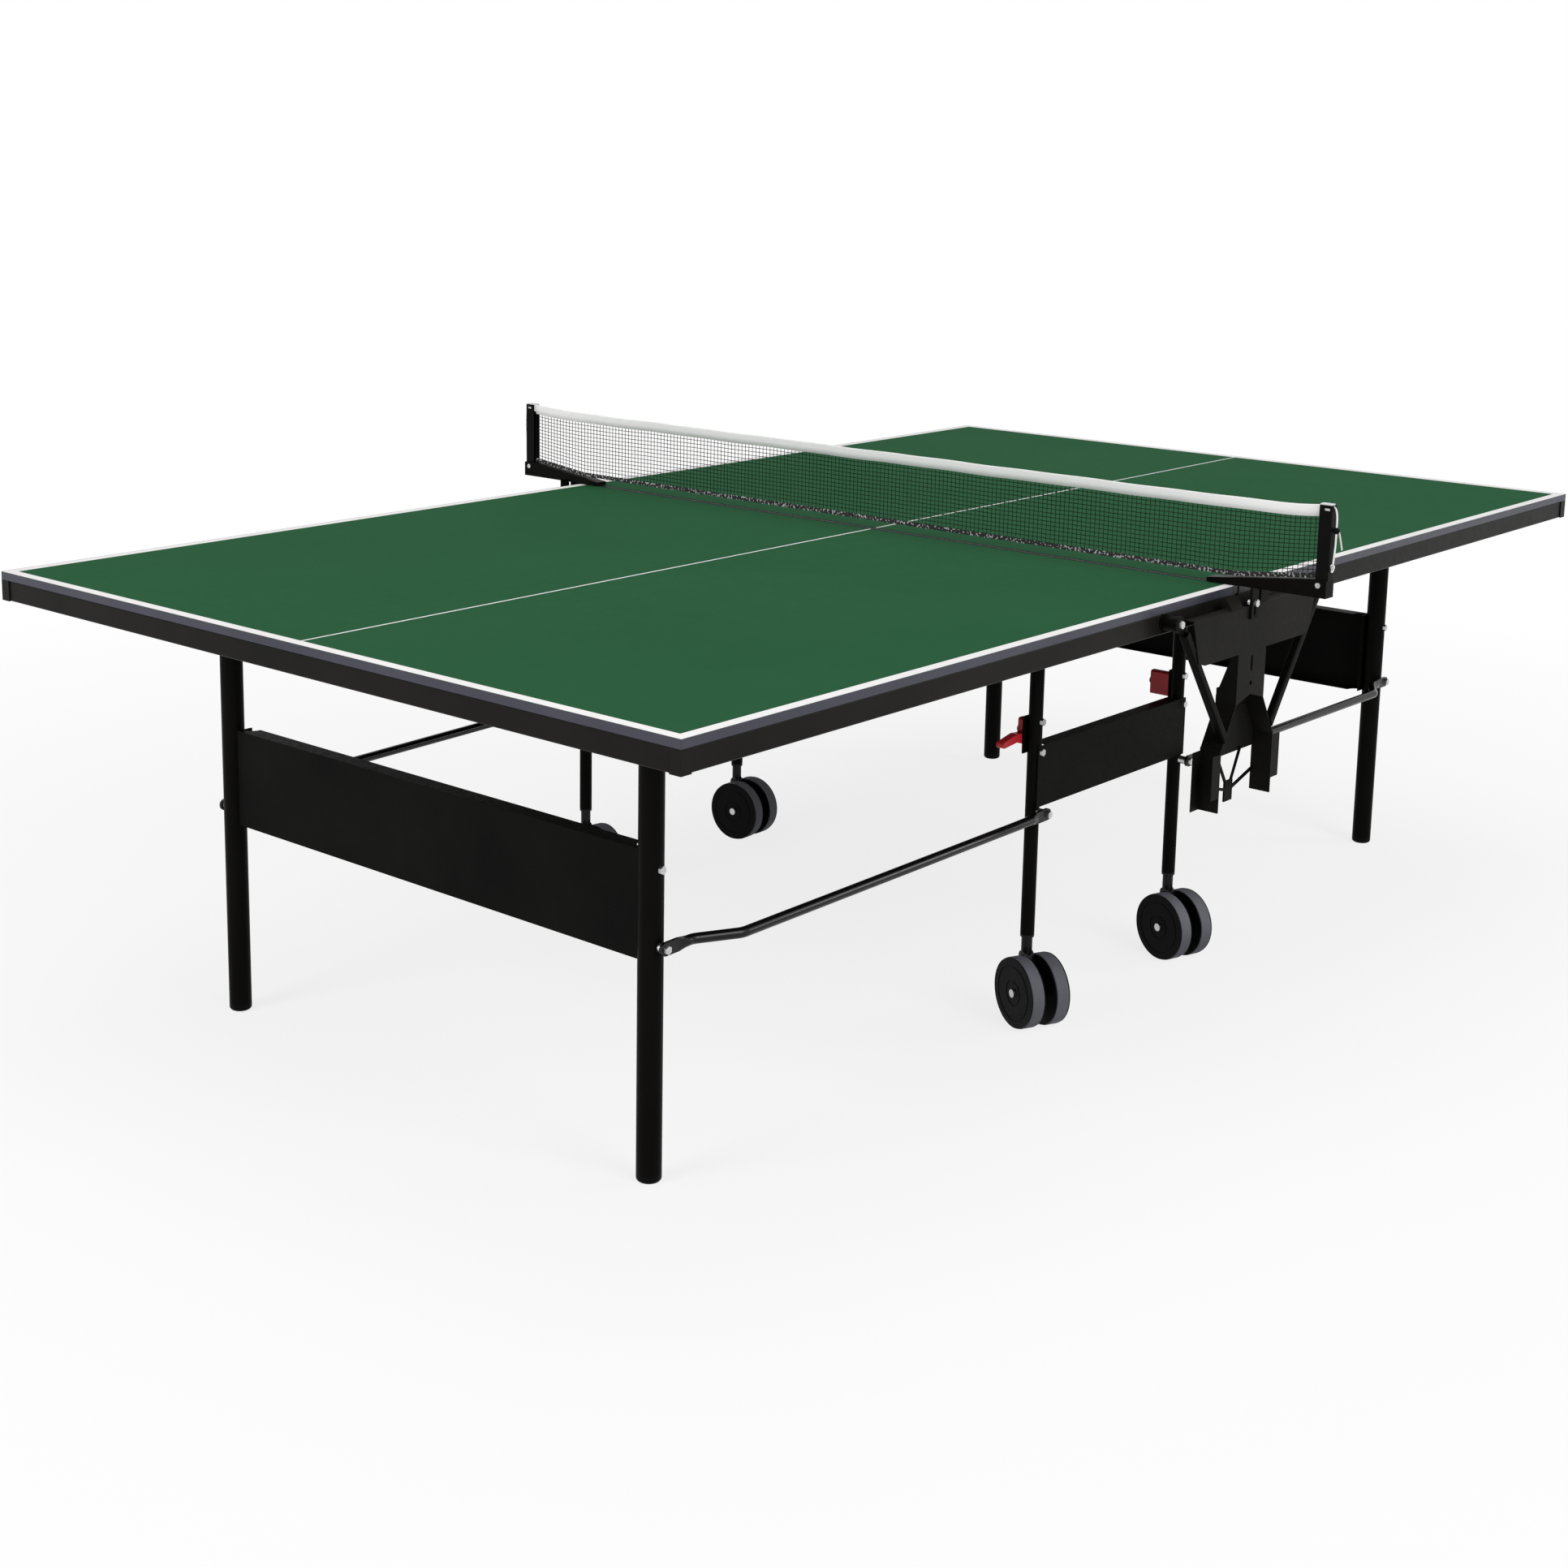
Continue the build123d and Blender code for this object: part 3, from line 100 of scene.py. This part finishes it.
# Net cords, metres: routes over the posts, the loose tail at the near lock, and the near cord's knot
CORD_DIAMETER = 0.003
CORD_ROUTES = {
    "near": [(0, -0.9032, 0.913), (0, -0.921, 0.913), (0, -0.9305, 0.904), (0, -0.9305, 0.8665),
             (0.0015, -0.9295, 0.8415), (0, -0.9275, 0.811)],
    "far": [(0, 0.9032, 0.913), (0, 0.921, 0.913), (0, 0.9305, 0.904), (0, 0.9335, 0.872),
            (0, 0.932, 0.8415), (0, 0.9275, 0.811)],
    "tail": [(0.0072, -0.9305, 0.8718), (0.011, -0.932, 0.861), (0.0165, -0.9335, 0.839)],
}
KNOT_RADIUS = 0.0022
KNOT_SQUASH = Vector((0.6, 0.55, 1.0))
KNOT_STRAND = 0.85 * CORD_DIAMETER
KNOT_POINTS = 24

# Studio, metres and watts: the floor shows whiter away from the object, and the world shows white
FLOOR_HALF = 12
FLOOR_GREY = (0.8, 0.8, 0.8, 1.0)
FLOOR_ROUGHNESS = 0.9
WHITE_NEAR = 0.8
WHITE_FAR = 1.0
WHITE_START = 1.2
WHITE_STOP = 3.5
WORLD_COLOUR = (1.0, 1.0, 1.0, 1.0)
WORLD_LIGHT = 0.25
WORLD_SHOWN = 1.0
LAMPS = {
    "key": {"place": (-1.0, -5.5, 3.6), "target": (0, 0, 0.6), "size": 3.5, "power": 190},
    "fill": {"place": (-6.0, 0.8, 2.6), "target": (0, 0, 0.7), "size": 3.0, "power": 200},
    "over": {"place": (0.5, 0.5, 5.5), "target": (0, 0, 0.7), "size": 4.0, "power": 80},
    "side": {"place": (4.8, -4.8, 2.1), "target": (-0.6, -0.5, 0.4), "size": 2.5, "power": 90},
}

# Sockets of a colour Mix node: factor, first colour, second colour, and the mixed colour
MIX_COLOUR_INPUTS = (0, 6, 7)
MIX_COLOUR_OUTPUT = 2


def linear(red, green, blue):
    """An sRGB colour, 0 to 255, as linear RGBA."""
    def channel(value):
        value /= 255
        return value / 12.92 if value <= 0.04045 else ((value + 0.055) / 1.055) ** 2.4
    return (channel(red), channel(green), channel(blue), 1.0)


class Shader:
    """A material under construction, with short ways to add the nodes used here."""

    def __init__(self, name):
        self.material = bpy.data.materials.new(name)
        self.material.use_nodes = True
        self.tree = self.material.node_tree
        self.surface = self.tree.nodes["Principled BSDF"]
        self.place = self.add("ShaderNodeTexCoord").outputs["Object"]

    def add(self, kind, **settings):
        node = self.tree.nodes.new(kind)
        for key, value in settings.items():
            setattr(node, key, value)
        return node

    def link(self, value, socket):
        """Feeds a socket with another node's output, or sets it where the value is a constant."""
        if isinstance(value, bpy.types.NodeSocket):
            self.tree.links.new(value, socket)
        else:
            socket.default_value = value

    def set(self, **values):
        """Feeds the surface's sockets, each named by its words joined with underscores."""
        for key, value in values.items():
            self.link(value, self.surface.inputs[key.replace("_", " ")])

    def axes(self):
        """The place on the object, split into X, Y and Z."""
        split = self.add("ShaderNodeSeparateXYZ")
        self.link(self.place, split.inputs[0])
        return split.outputs

    def math(self, operation, first, second=0.0):
        node = self.add("ShaderNodeMath", operation=operation)
        self.link(first, node.inputs[0])
        self.link(second, node.inputs[1])
        return node.outputs[0]

    def noise(self, scale, detail=4.0):
        node = self.add("ShaderNodeTexNoise")
        self.link(self.place, node.inputs["Vector"])
        node.inputs["Scale"].default_value = scale
        node.inputs["Detail"].default_value = detail
        return node.outputs["Fac"]

    def remap(self, value, low, high, start=0.3, stop=0.7):
        """Takes values between start and stop to values between low and high."""
        node = self.add("ShaderNodeMapRange")
        self.link(value, node.inputs["Value"])
        node.inputs["From Min"].default_value = start
        node.inputs["From Max"].default_value = stop
        node.inputs["To Min"].default_value = low
        node.inputs["To Max"].default_value = high
        return node.outputs["Result"]

    def drift(self, scale=DRIFT_SCALE):
        """A slow change from 0 to 1 over the surface."""
        return self.remap(self.noise(scale), low=0.0, high=1.0)

    def mix(self, factor, first, second):
        node = self.add("ShaderNodeMix", data_type="RGBA")
        for value, place in zip((factor, first, second), MIX_COLOUR_INPUTS):
            self.link(value, node.inputs[place])
        return node.outputs[MIX_COLOUR_OUTPUT]

    def bump(self, height, strength, distance):
        node = self.add("ShaderNodeBump")
        node.inputs["Strength"].default_value = strength
        node.inputs["Distance"].default_value = distance
        self.link(height, node.inputs["Height"])
        self.link(node.outputs["Normal"], self.surface.inputs["Normal"])


def coated(name, colour, pale, roughness, grain, relief, shine=0.3):
    """A coat with slow colour drift, patchy gloss and a fine grain: paint, powder coat or moulded plastic."""
    shader = Shader(name)
    patches = shader.noise(grain / GRAINS_PER_GLOSS_PATCH)
    shader.set(
        Base_Color=shader.mix(shader.drift(), linear(*colour), linear(*pale)),
        Roughness=shader.remap(patches, roughness - GLOSS_SPREAD, roughness + GLOSS_SPREAD),
        Specular_IOR_Level=shine,
    )
    shader.bump(shader.noise(grain, FINE_DETAIL), COAT_BUMP, relief)
    return shader.material


def top_paint():
    """Green playing surface with white lines round the edges and down the middle, and painted shade along the
    seam where the halves meet.
    """
    shader = Shader("top_paint")
    axes = shader.axes()
    across = shader.math("ABSOLUTE", axes["Y"])
    along = shader.math("ABSOLUTE", axes["X"])
    side_line = shader.math("GREATER_THAN", across, TABLE_SIDE - EDGE_LINE)
    end_line = shader.math("GREATER_THAN", along, TABLE_END - EDGE_LINE)
    centre = shader.math("LESS_THAN", across, CENTRE_LINE / 2)
    lines = shader.math("MAXIMUM", shader.math("MAXIMUM", side_line, end_line), centre)
    # Painted shade: the green turns dark green within this reach of the seam, standing for the shaded gap
    # between the halves
    seam_shade = shader.math("LESS_THAN", along, TOP_SEAM_SHADE_HALF)
    on_top = shader.math("GREATER_THAN", axes["Z"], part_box("board_left")[1][2] - PAINT_DEPTH)
    drift = shader.drift(scale=3.0)
    green = shader.mix(drift, linear(37, 84, 54), linear(40, 87, 57))
    white = shader.mix(drift, linear(238, 236, 236), linear(246, 245, 244))
    bare = shader.mix(drift, linear(52, 50, 48), linear(62, 60, 57))
    seam_shade_colour = shader.mix(drift, linear(12, 22, 15), linear(16, 27, 19))
    painted = shader.mix(seam_shade, shader.mix(lines, green, white), seam_shade_colour)
    shader.set(
        Base_Color=shader.mix(on_top, bare, painted),
        Roughness=shader.remap(shader.noise(scale=40.0), low=0.66, high=0.70),
        Specular_IOR_Level=0.01,
    )
    shader.bump(shader.noise(scale=900.0, detail=FINE_DETAIL), strength=0.15, distance=0.0002)
    return shader.material


def trim_plastic():
    """Blue-grey edge band, black where the two halves meet under the net: partly a dark edge cap, partly
    painted shade of the gap between the halves.
    """
    shader = Shader("edge_trim_plastic")
    # Painted shade, in part: black near the seam stands for a dark edge cap and for the shade in the gap
    # between the halves
    seam_shade = shader.math("LESS_THAN", shader.math("ABSOLUTE", shader.axes()["X"]), TRIM_SEAM_SHADE_HALF)
    drift = shader.drift()
    band = shader.mix(drift, linear(44, 46, 58), linear(54, 55, 66))
    seam_shade_colour = shader.mix(drift, linear(10, 10, 11), linear(15, 15, 16))
    shader.set(
        Base_Color=shader.mix(seam_shade, band, seam_shade_colour),
        Roughness=shader.remap(shader.noise(scale=110.0), low=0.32, high=0.44),
        Specular_IOR_Level=0.3,
    )
    shader.bump(shader.noise(scale=900.0, detail=FINE_DETAIL), COAT_BUMP, distance=0.0001)
    return shader.material


def zinc():
    """Plated fasteners: grey metal with a faint spangle."""
    shader = Shader("zinc_plate")
    spangle = shader.drift(scale=400.0)
    shader.set(
        Base_Color=shader.mix(spangle, linear(176, 176, 178), linear(208, 208, 208)),
        Metallic=1.0,
        Roughness=shader.remap(spangle, low=0.28, high=0.42, start=0.0, stop=1.0),
    )
    shader.bump(shader.noise(scale=700.0), strength=0.2, distance=0.0002)
    return shader.material


def cloth(shader, tone, colour, pale, weave, relief):
    """Finishes a cloth: two tones, a dull patchy surface and the relief of its weave."""
    shader.set(
        Base_Color=shader.mix(tone, linear(*colour), linear(*pale)),
        Roughness=shader.remap(shader.noise(CLOTH_PATCH_SCALE), *CLOTH_ROUGHNESS),
    )
    shader.bump(weave, CLOTH_BUMP, relief)
    return shader.material


def woven(name, colour, pale, thread):
    """Woven cloth: fine crossing threads along Y and Z."""
    shader = Shader(name)
    axes = shader.axes()
    turn = 2 * pi / thread
    weft = shader.math("SINE", shader.math("MULTIPLY", axes["Y"], turn))
    warp = shader.math("SINE", shader.math("MULTIPLY", axes["Z"], turn))
    weave = shader.math("MULTIPLY", weft, warp)
    tone = shader.remap(weave, low=0.0, high=1.0, start=-1.0, stop=1.0)
    return cloth(shader, tone, colour, pale, weave, relief=0.0004)


def flecked(name, colour, fleck):
    """Coarse dark cloth with pale flecks of thread showing through."""
    shader = Shader(name)
    grain = shader.noise(scale=240.0, detail=1.0)
    tone = shader.remap(grain, low=0.0, high=1.0, start=0.56, stop=0.64)
    return cloth(shader, tone, colour, fleck, grain, relief=0.0006)


TOP = top_paint()
TRIM = trim_plastic()
STEEL = coated("black_steel", (9, 8, 7), (14, 13, 12),
               roughness=0.36, grain=700.0, relief=0.0002, shine=0.025)
ROD = coated("rod_steel", (9, 8, 8), (15, 14, 14),
             roughness=0.22, grain=700.0, relief=0.0001, shine=0.24)
APRON = coated("apron_steel", (20, 19, 18), (27, 25, 24),
               roughness=0.34, grain=700.0, relief=0.0002, shine=0.05)
PANEL = coated("panel_steel", (11, 12, 11), (19, 20, 17),
               roughness=0.46, grain=1100.0, relief=0.0004, shine=0.02)
YOKE = coated("yoke_steel", (19, 19, 16), (27, 26, 23),
              roughness=0.42, grain=900.0, relief=0.0003, shine=0.03)
BLACK = coated("black_plastic", (9, 8, 8), (14, 13, 13),
               roughness=0.42, grain=600.0, relief=0.0003, shine=0.04)
FORK = coated("fork_plastic", (13, 13, 15), (20, 20, 23),
              roughness=0.18, grain=500.0, relief=0.0001, shine=0.15)
RED = coated("red_plastic", (172, 28, 38), (190, 40, 48),
             roughness=0.34, grain=500.0, relief=0.0002)
PALE = coated("white_plastic", (222, 222, 224), (236, 235, 234),
              roughness=0.40, grain=500.0, relief=0.0002)
RUBBER = coated("grey_rubber", (86, 87, 93), (110, 111, 117),
                roughness=0.72, grain=450.0, relief=0.0006, shine=0.1)
ZINC = zinc()
TAPE = woven("tape_cloth", (236, 235, 234), (252, 251, 250), thread=0.0012)
CORD = woven("cord_braid", (214, 213, 211), (238, 237, 235), thread=0.0014)
HEM = flecked("hem_cloth", (14, 15, 15), (170, 172, 170))
NET = coated("net_thread", (20, 23, 21), (34, 37, 34),
             roughness=0.80, grain=900.0, relief=0.0002, shine=0.04)

# The finish of each CAD node, by how its name starts; the net and its tape get pieces of their own
FINISHES = {
    "board": TOP, "edge_trim": TRIM, "apron_rails": APRON, "cross_rail": STEEL, "hinge_bushes": BLACK,
    "end_legs": STEEL, "foot_caps": BLACK, "end_panel": PANEL, "leg_bolts": ZINC, "link_rod": ROD,
    "axle_tubes": STEEL, "wheel_legs": STEEL, "side_panels": PANEL, "truss_plates": YOKE,
    "truss_struts": STEEL, "center_yokes": YOKE, "yoke_ties": STEEL, "net_arms": STEEL, "net_posts": BLACK,
    "post_fittings": PALE, "latch_brackets": STEEL, "latch_lever": RED, "trolley_bolts": ZINC,
    "net_cord": CORD, "castor_sockets": FORK, "castor_fork": FORK, "castor_wheels": BLACK,
    "castor_tyres": RUBBER, "castor_axle": ZINC,
}


def dress_nodes():
    """Gives every CAD node the finish whose name it starts with."""
    for name, node in NODES.items():
        for start, finish in FINISHES.items():
            if name.startswith(start):
                node.data.materials.clear()
                node.data.materials.append(finish)
                break


def new_object(name, mesh_or_curve, finish):
    """Adds a piece to the scene, dressed and riding on the trolley."""
    piece = bpy.data.objects.new(name, mesh_or_curve)
    bpy.context.scene.collection.objects.link(piece)
    mesh_or_curve.materials.append(finish)
    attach(piece, "trolley")
    return piece


def mesh_from(name, build):
    """A mesh filled by a function that draws in a bmesh."""
    mesh = bpy.data.meshes.new(name)
    drawing = bmesh.new()
    build(drawing)
    drawing.to_mesh(mesh)
    drawing.free()
    return mesh


dress_nodes()

# Net: crossing threads on a fine grid, cut to the arms' slope as the CAD net is
net_low, net_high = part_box("net")
tape_low, tape_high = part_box("net_tape")
net_half = net_high[1]


def net_floor(y):
    """The height of the net's lower edge: level, then rising over the arms towards the posts."""
    over_arm = (abs(y) - NET_CORNER) / (NET_SHOULDER - NET_CORNER)
    return net_low[2] + NET_SHOULDER_RISE * min(max(over_arm, 0.0), 1.0)


def tape_dip(y):
    """How far the tape hangs below its ends: the cord lifts it close to each post."""
    from_post = net_half - abs(y)
    fast, slow = TAPE_RIPPLE_RATES
    ripple = TAPE_RIPPLE * sin(fast * y) * sin(slow * y + TAPE_RIPPLE_SHIFT)
    return TAPE_DIP * (1 - exp(-from_post / TAPE_LIFT_LENGTH)) + ripple


def draw_net(drawing):
    """A sheet of grid squares, whose edges the wireframe modifier turns into threads."""
    columns = round(2 * net_half / MESH_WIDTH)
    rows = round((net_high[2] - net_low[2]) / MESH_HEIGHT)
    grid = []
    for column in range(columns + 1):
        y = net_low[1] + 2 * net_half * column / columns
        floor = net_floor(y)
        head = net_high[2] - tape_dip(y) + NET_TUCK
        sway = NET_SWAY * sin(NET_SWAY_RATE * y)
        heights = [floor + (head - floor) * row / rows for row in range(rows + 1)]
        grid.append([drawing.verts.new((sway, y, z)) for z in heights])
    for left, right in zip(grid, grid[1:]):
        for row in range(rows):
            drawing.faces.new((left[row], right[row], right[row + 1], left[row + 1]))


def draw_band(drawing, lower, upper, thickness):
    """A folded cloth band along the net: a rounded section drawn at stations across the table."""
    crown = thickness / 2
    foot = crown * BAND_FOOT_SHARE
    sections = []
    for station in range(BAND_STATIONS + 1):
        y = net_half * (2 * station / BAND_STATIONS - 1)
        low, high = lower(y), upper(y)
        middle = (low + high) / 2
        section = []
        for step in range(BAND_STEPS + 1):
            angle = pi * step / BAND_STEPS
            section.append((crown * cos(angle), high - crown + crown * sin(angle)))
        section += [(-crown, middle), (-foot, low), (foot, low), (crown, middle)]
        sections.append([drawing.verts.new((x, y, z)) for x, z in section])
    count = len(sections[0])
    for first, second in zip(sections, sections[1:]):
        for place in range(count):
            after = (place + 1) % count
            drawing.faces.new((first[place], second[place], second[after], first[after]))
    drawing.faces.new(sections[0])
    drawing.faces.new(list(reversed(sections[-1])))
    bmesh.ops.recalc_face_normals(drawing, faces=drawing.faces)


def draw_hem(drawing):
    draw_band(drawing, net_floor, lambda y: net_floor(y) + HEM_HEIGHT, HEM_THICKNESS)


def draw_tape(drawing):
    draw_band(drawing, lambda y: tape_low[2] - tape_dip(y), lambda y: tape_high[2] - tape_dip(y),
              TAPE_THICKNESS)


net = new_object("net_mesh", mesh_from("net_mesh", draw_net), NET)
threads = net.modifiers.new("threads", "WIREFRAME")
threads.thickness = THREAD
threads.use_even_offset = False
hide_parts("net")

hem = new_object("net_hem", mesh_from("net_hem", draw_hem), HEM)

tape = new_object("net_tape_band", mesh_from("net_tape_band", draw_tape), TAPE)
for face in tape.data.polygons:
    face.use_smooth = True
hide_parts("net_tape")


def tube_curve(name, points, diameter, closed=False):
    """A smooth round line through the hull of its control points."""
    curve = bpy.data.curves.new(name, "CURVE")
    curve.dimensions = "3D"
    curve.bevel_depth = diameter / 2
    curve.bevel_resolution = 4
    curve.use_fill_caps = not closed
    spline = curve.splines.new("NURBS")
    spline.points.add(len(points) - 1)
    for control, point in zip(spline.points, points):
        control.co = (*point, 1.0)
    spline.use_cyclic_u = closed
    spline.order_u = 3
    spline.use_endpoint_u = not closed
    spline.resolution_u = 8
    return curve


def route_length(curve):
    """The length of a curve's centre line, read from the line that it draws without its bevel."""
    bare = curve.copy()
    bare.bevel_depth = 0.0
    holder = bpy.data.objects.new("route", bare)
    line = bpy.data.meshes.new_from_object(holder)
    runs = [[line.vertices[end].co for end in edge.vertices] for edge in line.edges]
    length = sum((first - second).length for first, second in runs)
    bpy.data.objects.remove(holder)
    bpy.data.curves.remove(bare)
    bpy.data.meshes.remove(line)
    return length


def knot_points():
    """A trefoil line round the near cord's end, squashed to the cord."""
    place = Vector(CORD_ROUTES["near"][-1])
    points = []
    for step in range(KNOT_POINTS):
        turn = 2 * pi * step / KNOT_POINTS
        loop = Vector((cos(3 * turn), sin(turn) + 2 * sin(2 * turn), cos(turn) - 2 * cos(2 * turn)))
        points.append(tuple(place + KNOT_SQUASH * KNOT_RADIUS * loop))
    return points


cords = {}
for name, route in CORD_ROUTES.items():
    strand = new_object(f"cord_{name}", tube_curve(f"cord_{name}", route, CORD_DIAMETER), CORD)
    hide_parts(f"net_cord_{name}")
    cords[name] = strand

# A small overhand knot where the near cord ends
knot = new_object("cord_knot", tube_curve("cord_knot", knot_points(), KNOT_STRAND, closed=True), CORD)

route_length(cords["near"].data)
route_length(cords["far"].data)
route_length(cords["tail"].data)


def shown_rays(tree):
    """1 for the rays that show the background: the camera's own, and those mirrored or let through."""
    path = tree.nodes.new("ShaderNodeLightPath")
    shown = path.outputs["Is Camera Ray"]
    for kind in ("Is Glossy Ray", "Is Transmission Ray"):
        either = tree.nodes.new("ShaderNodeMath")
        either.operation = "MAXIMUM"
        tree.links.new(shown, either.inputs[0])
        tree.links.new(path.outputs[kind], either.inputs[1])
        shown = either.outputs[0]
    return shown


def white_floor():
    """A floor that shows white, but for the object's soft shadow, and is plain pale grey to the light."""
    shader = Shader("floor_white")
    shader.set(Base_Color=FLOOR_GREY, Roughness=FLOOR_ROUGHNESS)
    away = shader.add("ShaderNodeVectorMath", operation="LENGTH")
    shader.link(shader.place, away.inputs[0])
    white = shader.remap(away.outputs["Value"], WHITE_NEAR, WHITE_FAR, WHITE_START, WHITE_STOP)
    glow = shader.add("ShaderNodeEmission")
    mix = shader.add("ShaderNodeMixShader")
    shader.link(shader.math("MULTIPLY", shown_rays(shader.tree), white), mix.inputs["Fac"])
    shader.link(shader.surface.outputs[0], mix.inputs[1])
    shader.link(glow.outputs[0], mix.inputs[2])
    shader.link(mix.outputs[0], shader.tree.nodes["Material Output"].inputs["Surface"])
    return shader.material


def lay_floor():
    """A wide level floor under the table."""
    mesh = mesh_from("floor", lambda drawing: bmesh.ops.create_grid(
        drawing, x_segments=1, y_segments=1, size=FLOOR_HALF))
    mesh.materials.append(white_floor())
    floor = bpy.data.objects.new("floor", mesh)
    bpy.context.scene.collection.objects.link(floor)


def hang_lamp(name, place, target, size, power):
    """A large soft area lamp aimed at a point."""
    light = bpy.data.lights.new(name, "AREA")
    light.shape = "DISK"
    light.size = size
    light.energy = power
    holder = bpy.data.objects.new(name, light)
    holder.location = place
    holder.rotation_euler = (Vector(target) - Vector(place)).to_track_quat("-Z", "Y").to_euler()
    bpy.context.scene.collection.objects.link(holder)


def light_world():
    """A world that shows white and gives a weak even light."""
    world = bpy.data.worlds.new("studio")
    bpy.context.scene.world = world
    world.use_nodes = True
    tree = world.node_tree
    background = tree.nodes["Background"]
    background.inputs["Color"].default_value = WORLD_COLOUR
    level = tree.nodes.new("ShaderNodeMapRange")
    level.inputs["To Min"].default_value = WORLD_LIGHT
    level.inputs["To Max"].default_value = WORLD_SHOWN
    tree.links.new(shown_rays(tree), level.inputs["Value"])
    tree.links.new(level.outputs["Result"], background.inputs["Strength"])


def place_camera():
    """The photograph's camera: its lens and shift from the fitted pixels, its turn from three angles."""
    lens = bpy.data.cameras.new("camera")
    lens.sensor_width = SENSOR_WIDTH
    lens.lens = FOCAL_PIXELS / IMAGE_SIZE * SENSOR_WIDTH
    lens.shift_x = (IMAGE_SIZE / 2 - CENTRE_PIXEL[0]) / IMAGE_SIZE
    lens.shift_y = (CENTRE_PIXEL[1] - IMAGE_SIZE / 2) / IMAGE_SIZE
    camera = bpy.data.objects.new("camera", lens)
    level_reach = cos(CAMERA_PITCH)
    forward = Vector((level_reach * cos(CAMERA_YAW), level_reach * sin(CAMERA_YAW), sin(CAMERA_PITCH)))
    level_right = forward.cross(Vector((0, 0, 1))).normalized()
    level_up = level_right.cross(forward)
    right = level_right * cos(CAMERA_ROLL) + level_up * sin(CAMERA_ROLL)
    up = level_up * cos(CAMERA_ROLL) - level_right * sin(CAMERA_ROLL)
    turn = Matrix((right, up, -forward)).transposed()
    camera.matrix_world = Matrix.Translation(CAMERA_PLACE) @ turn.to_4x4()
    bpy.context.scene.collection.objects.link(camera)
    bpy.context.scene.camera = camera


lay_floor()
for name, settings in LAMPS.items():
    hang_lamp(name, **settings)
light_world()
place_camera()
bpy.context.scene.view_settings.view_transform = "Standard"
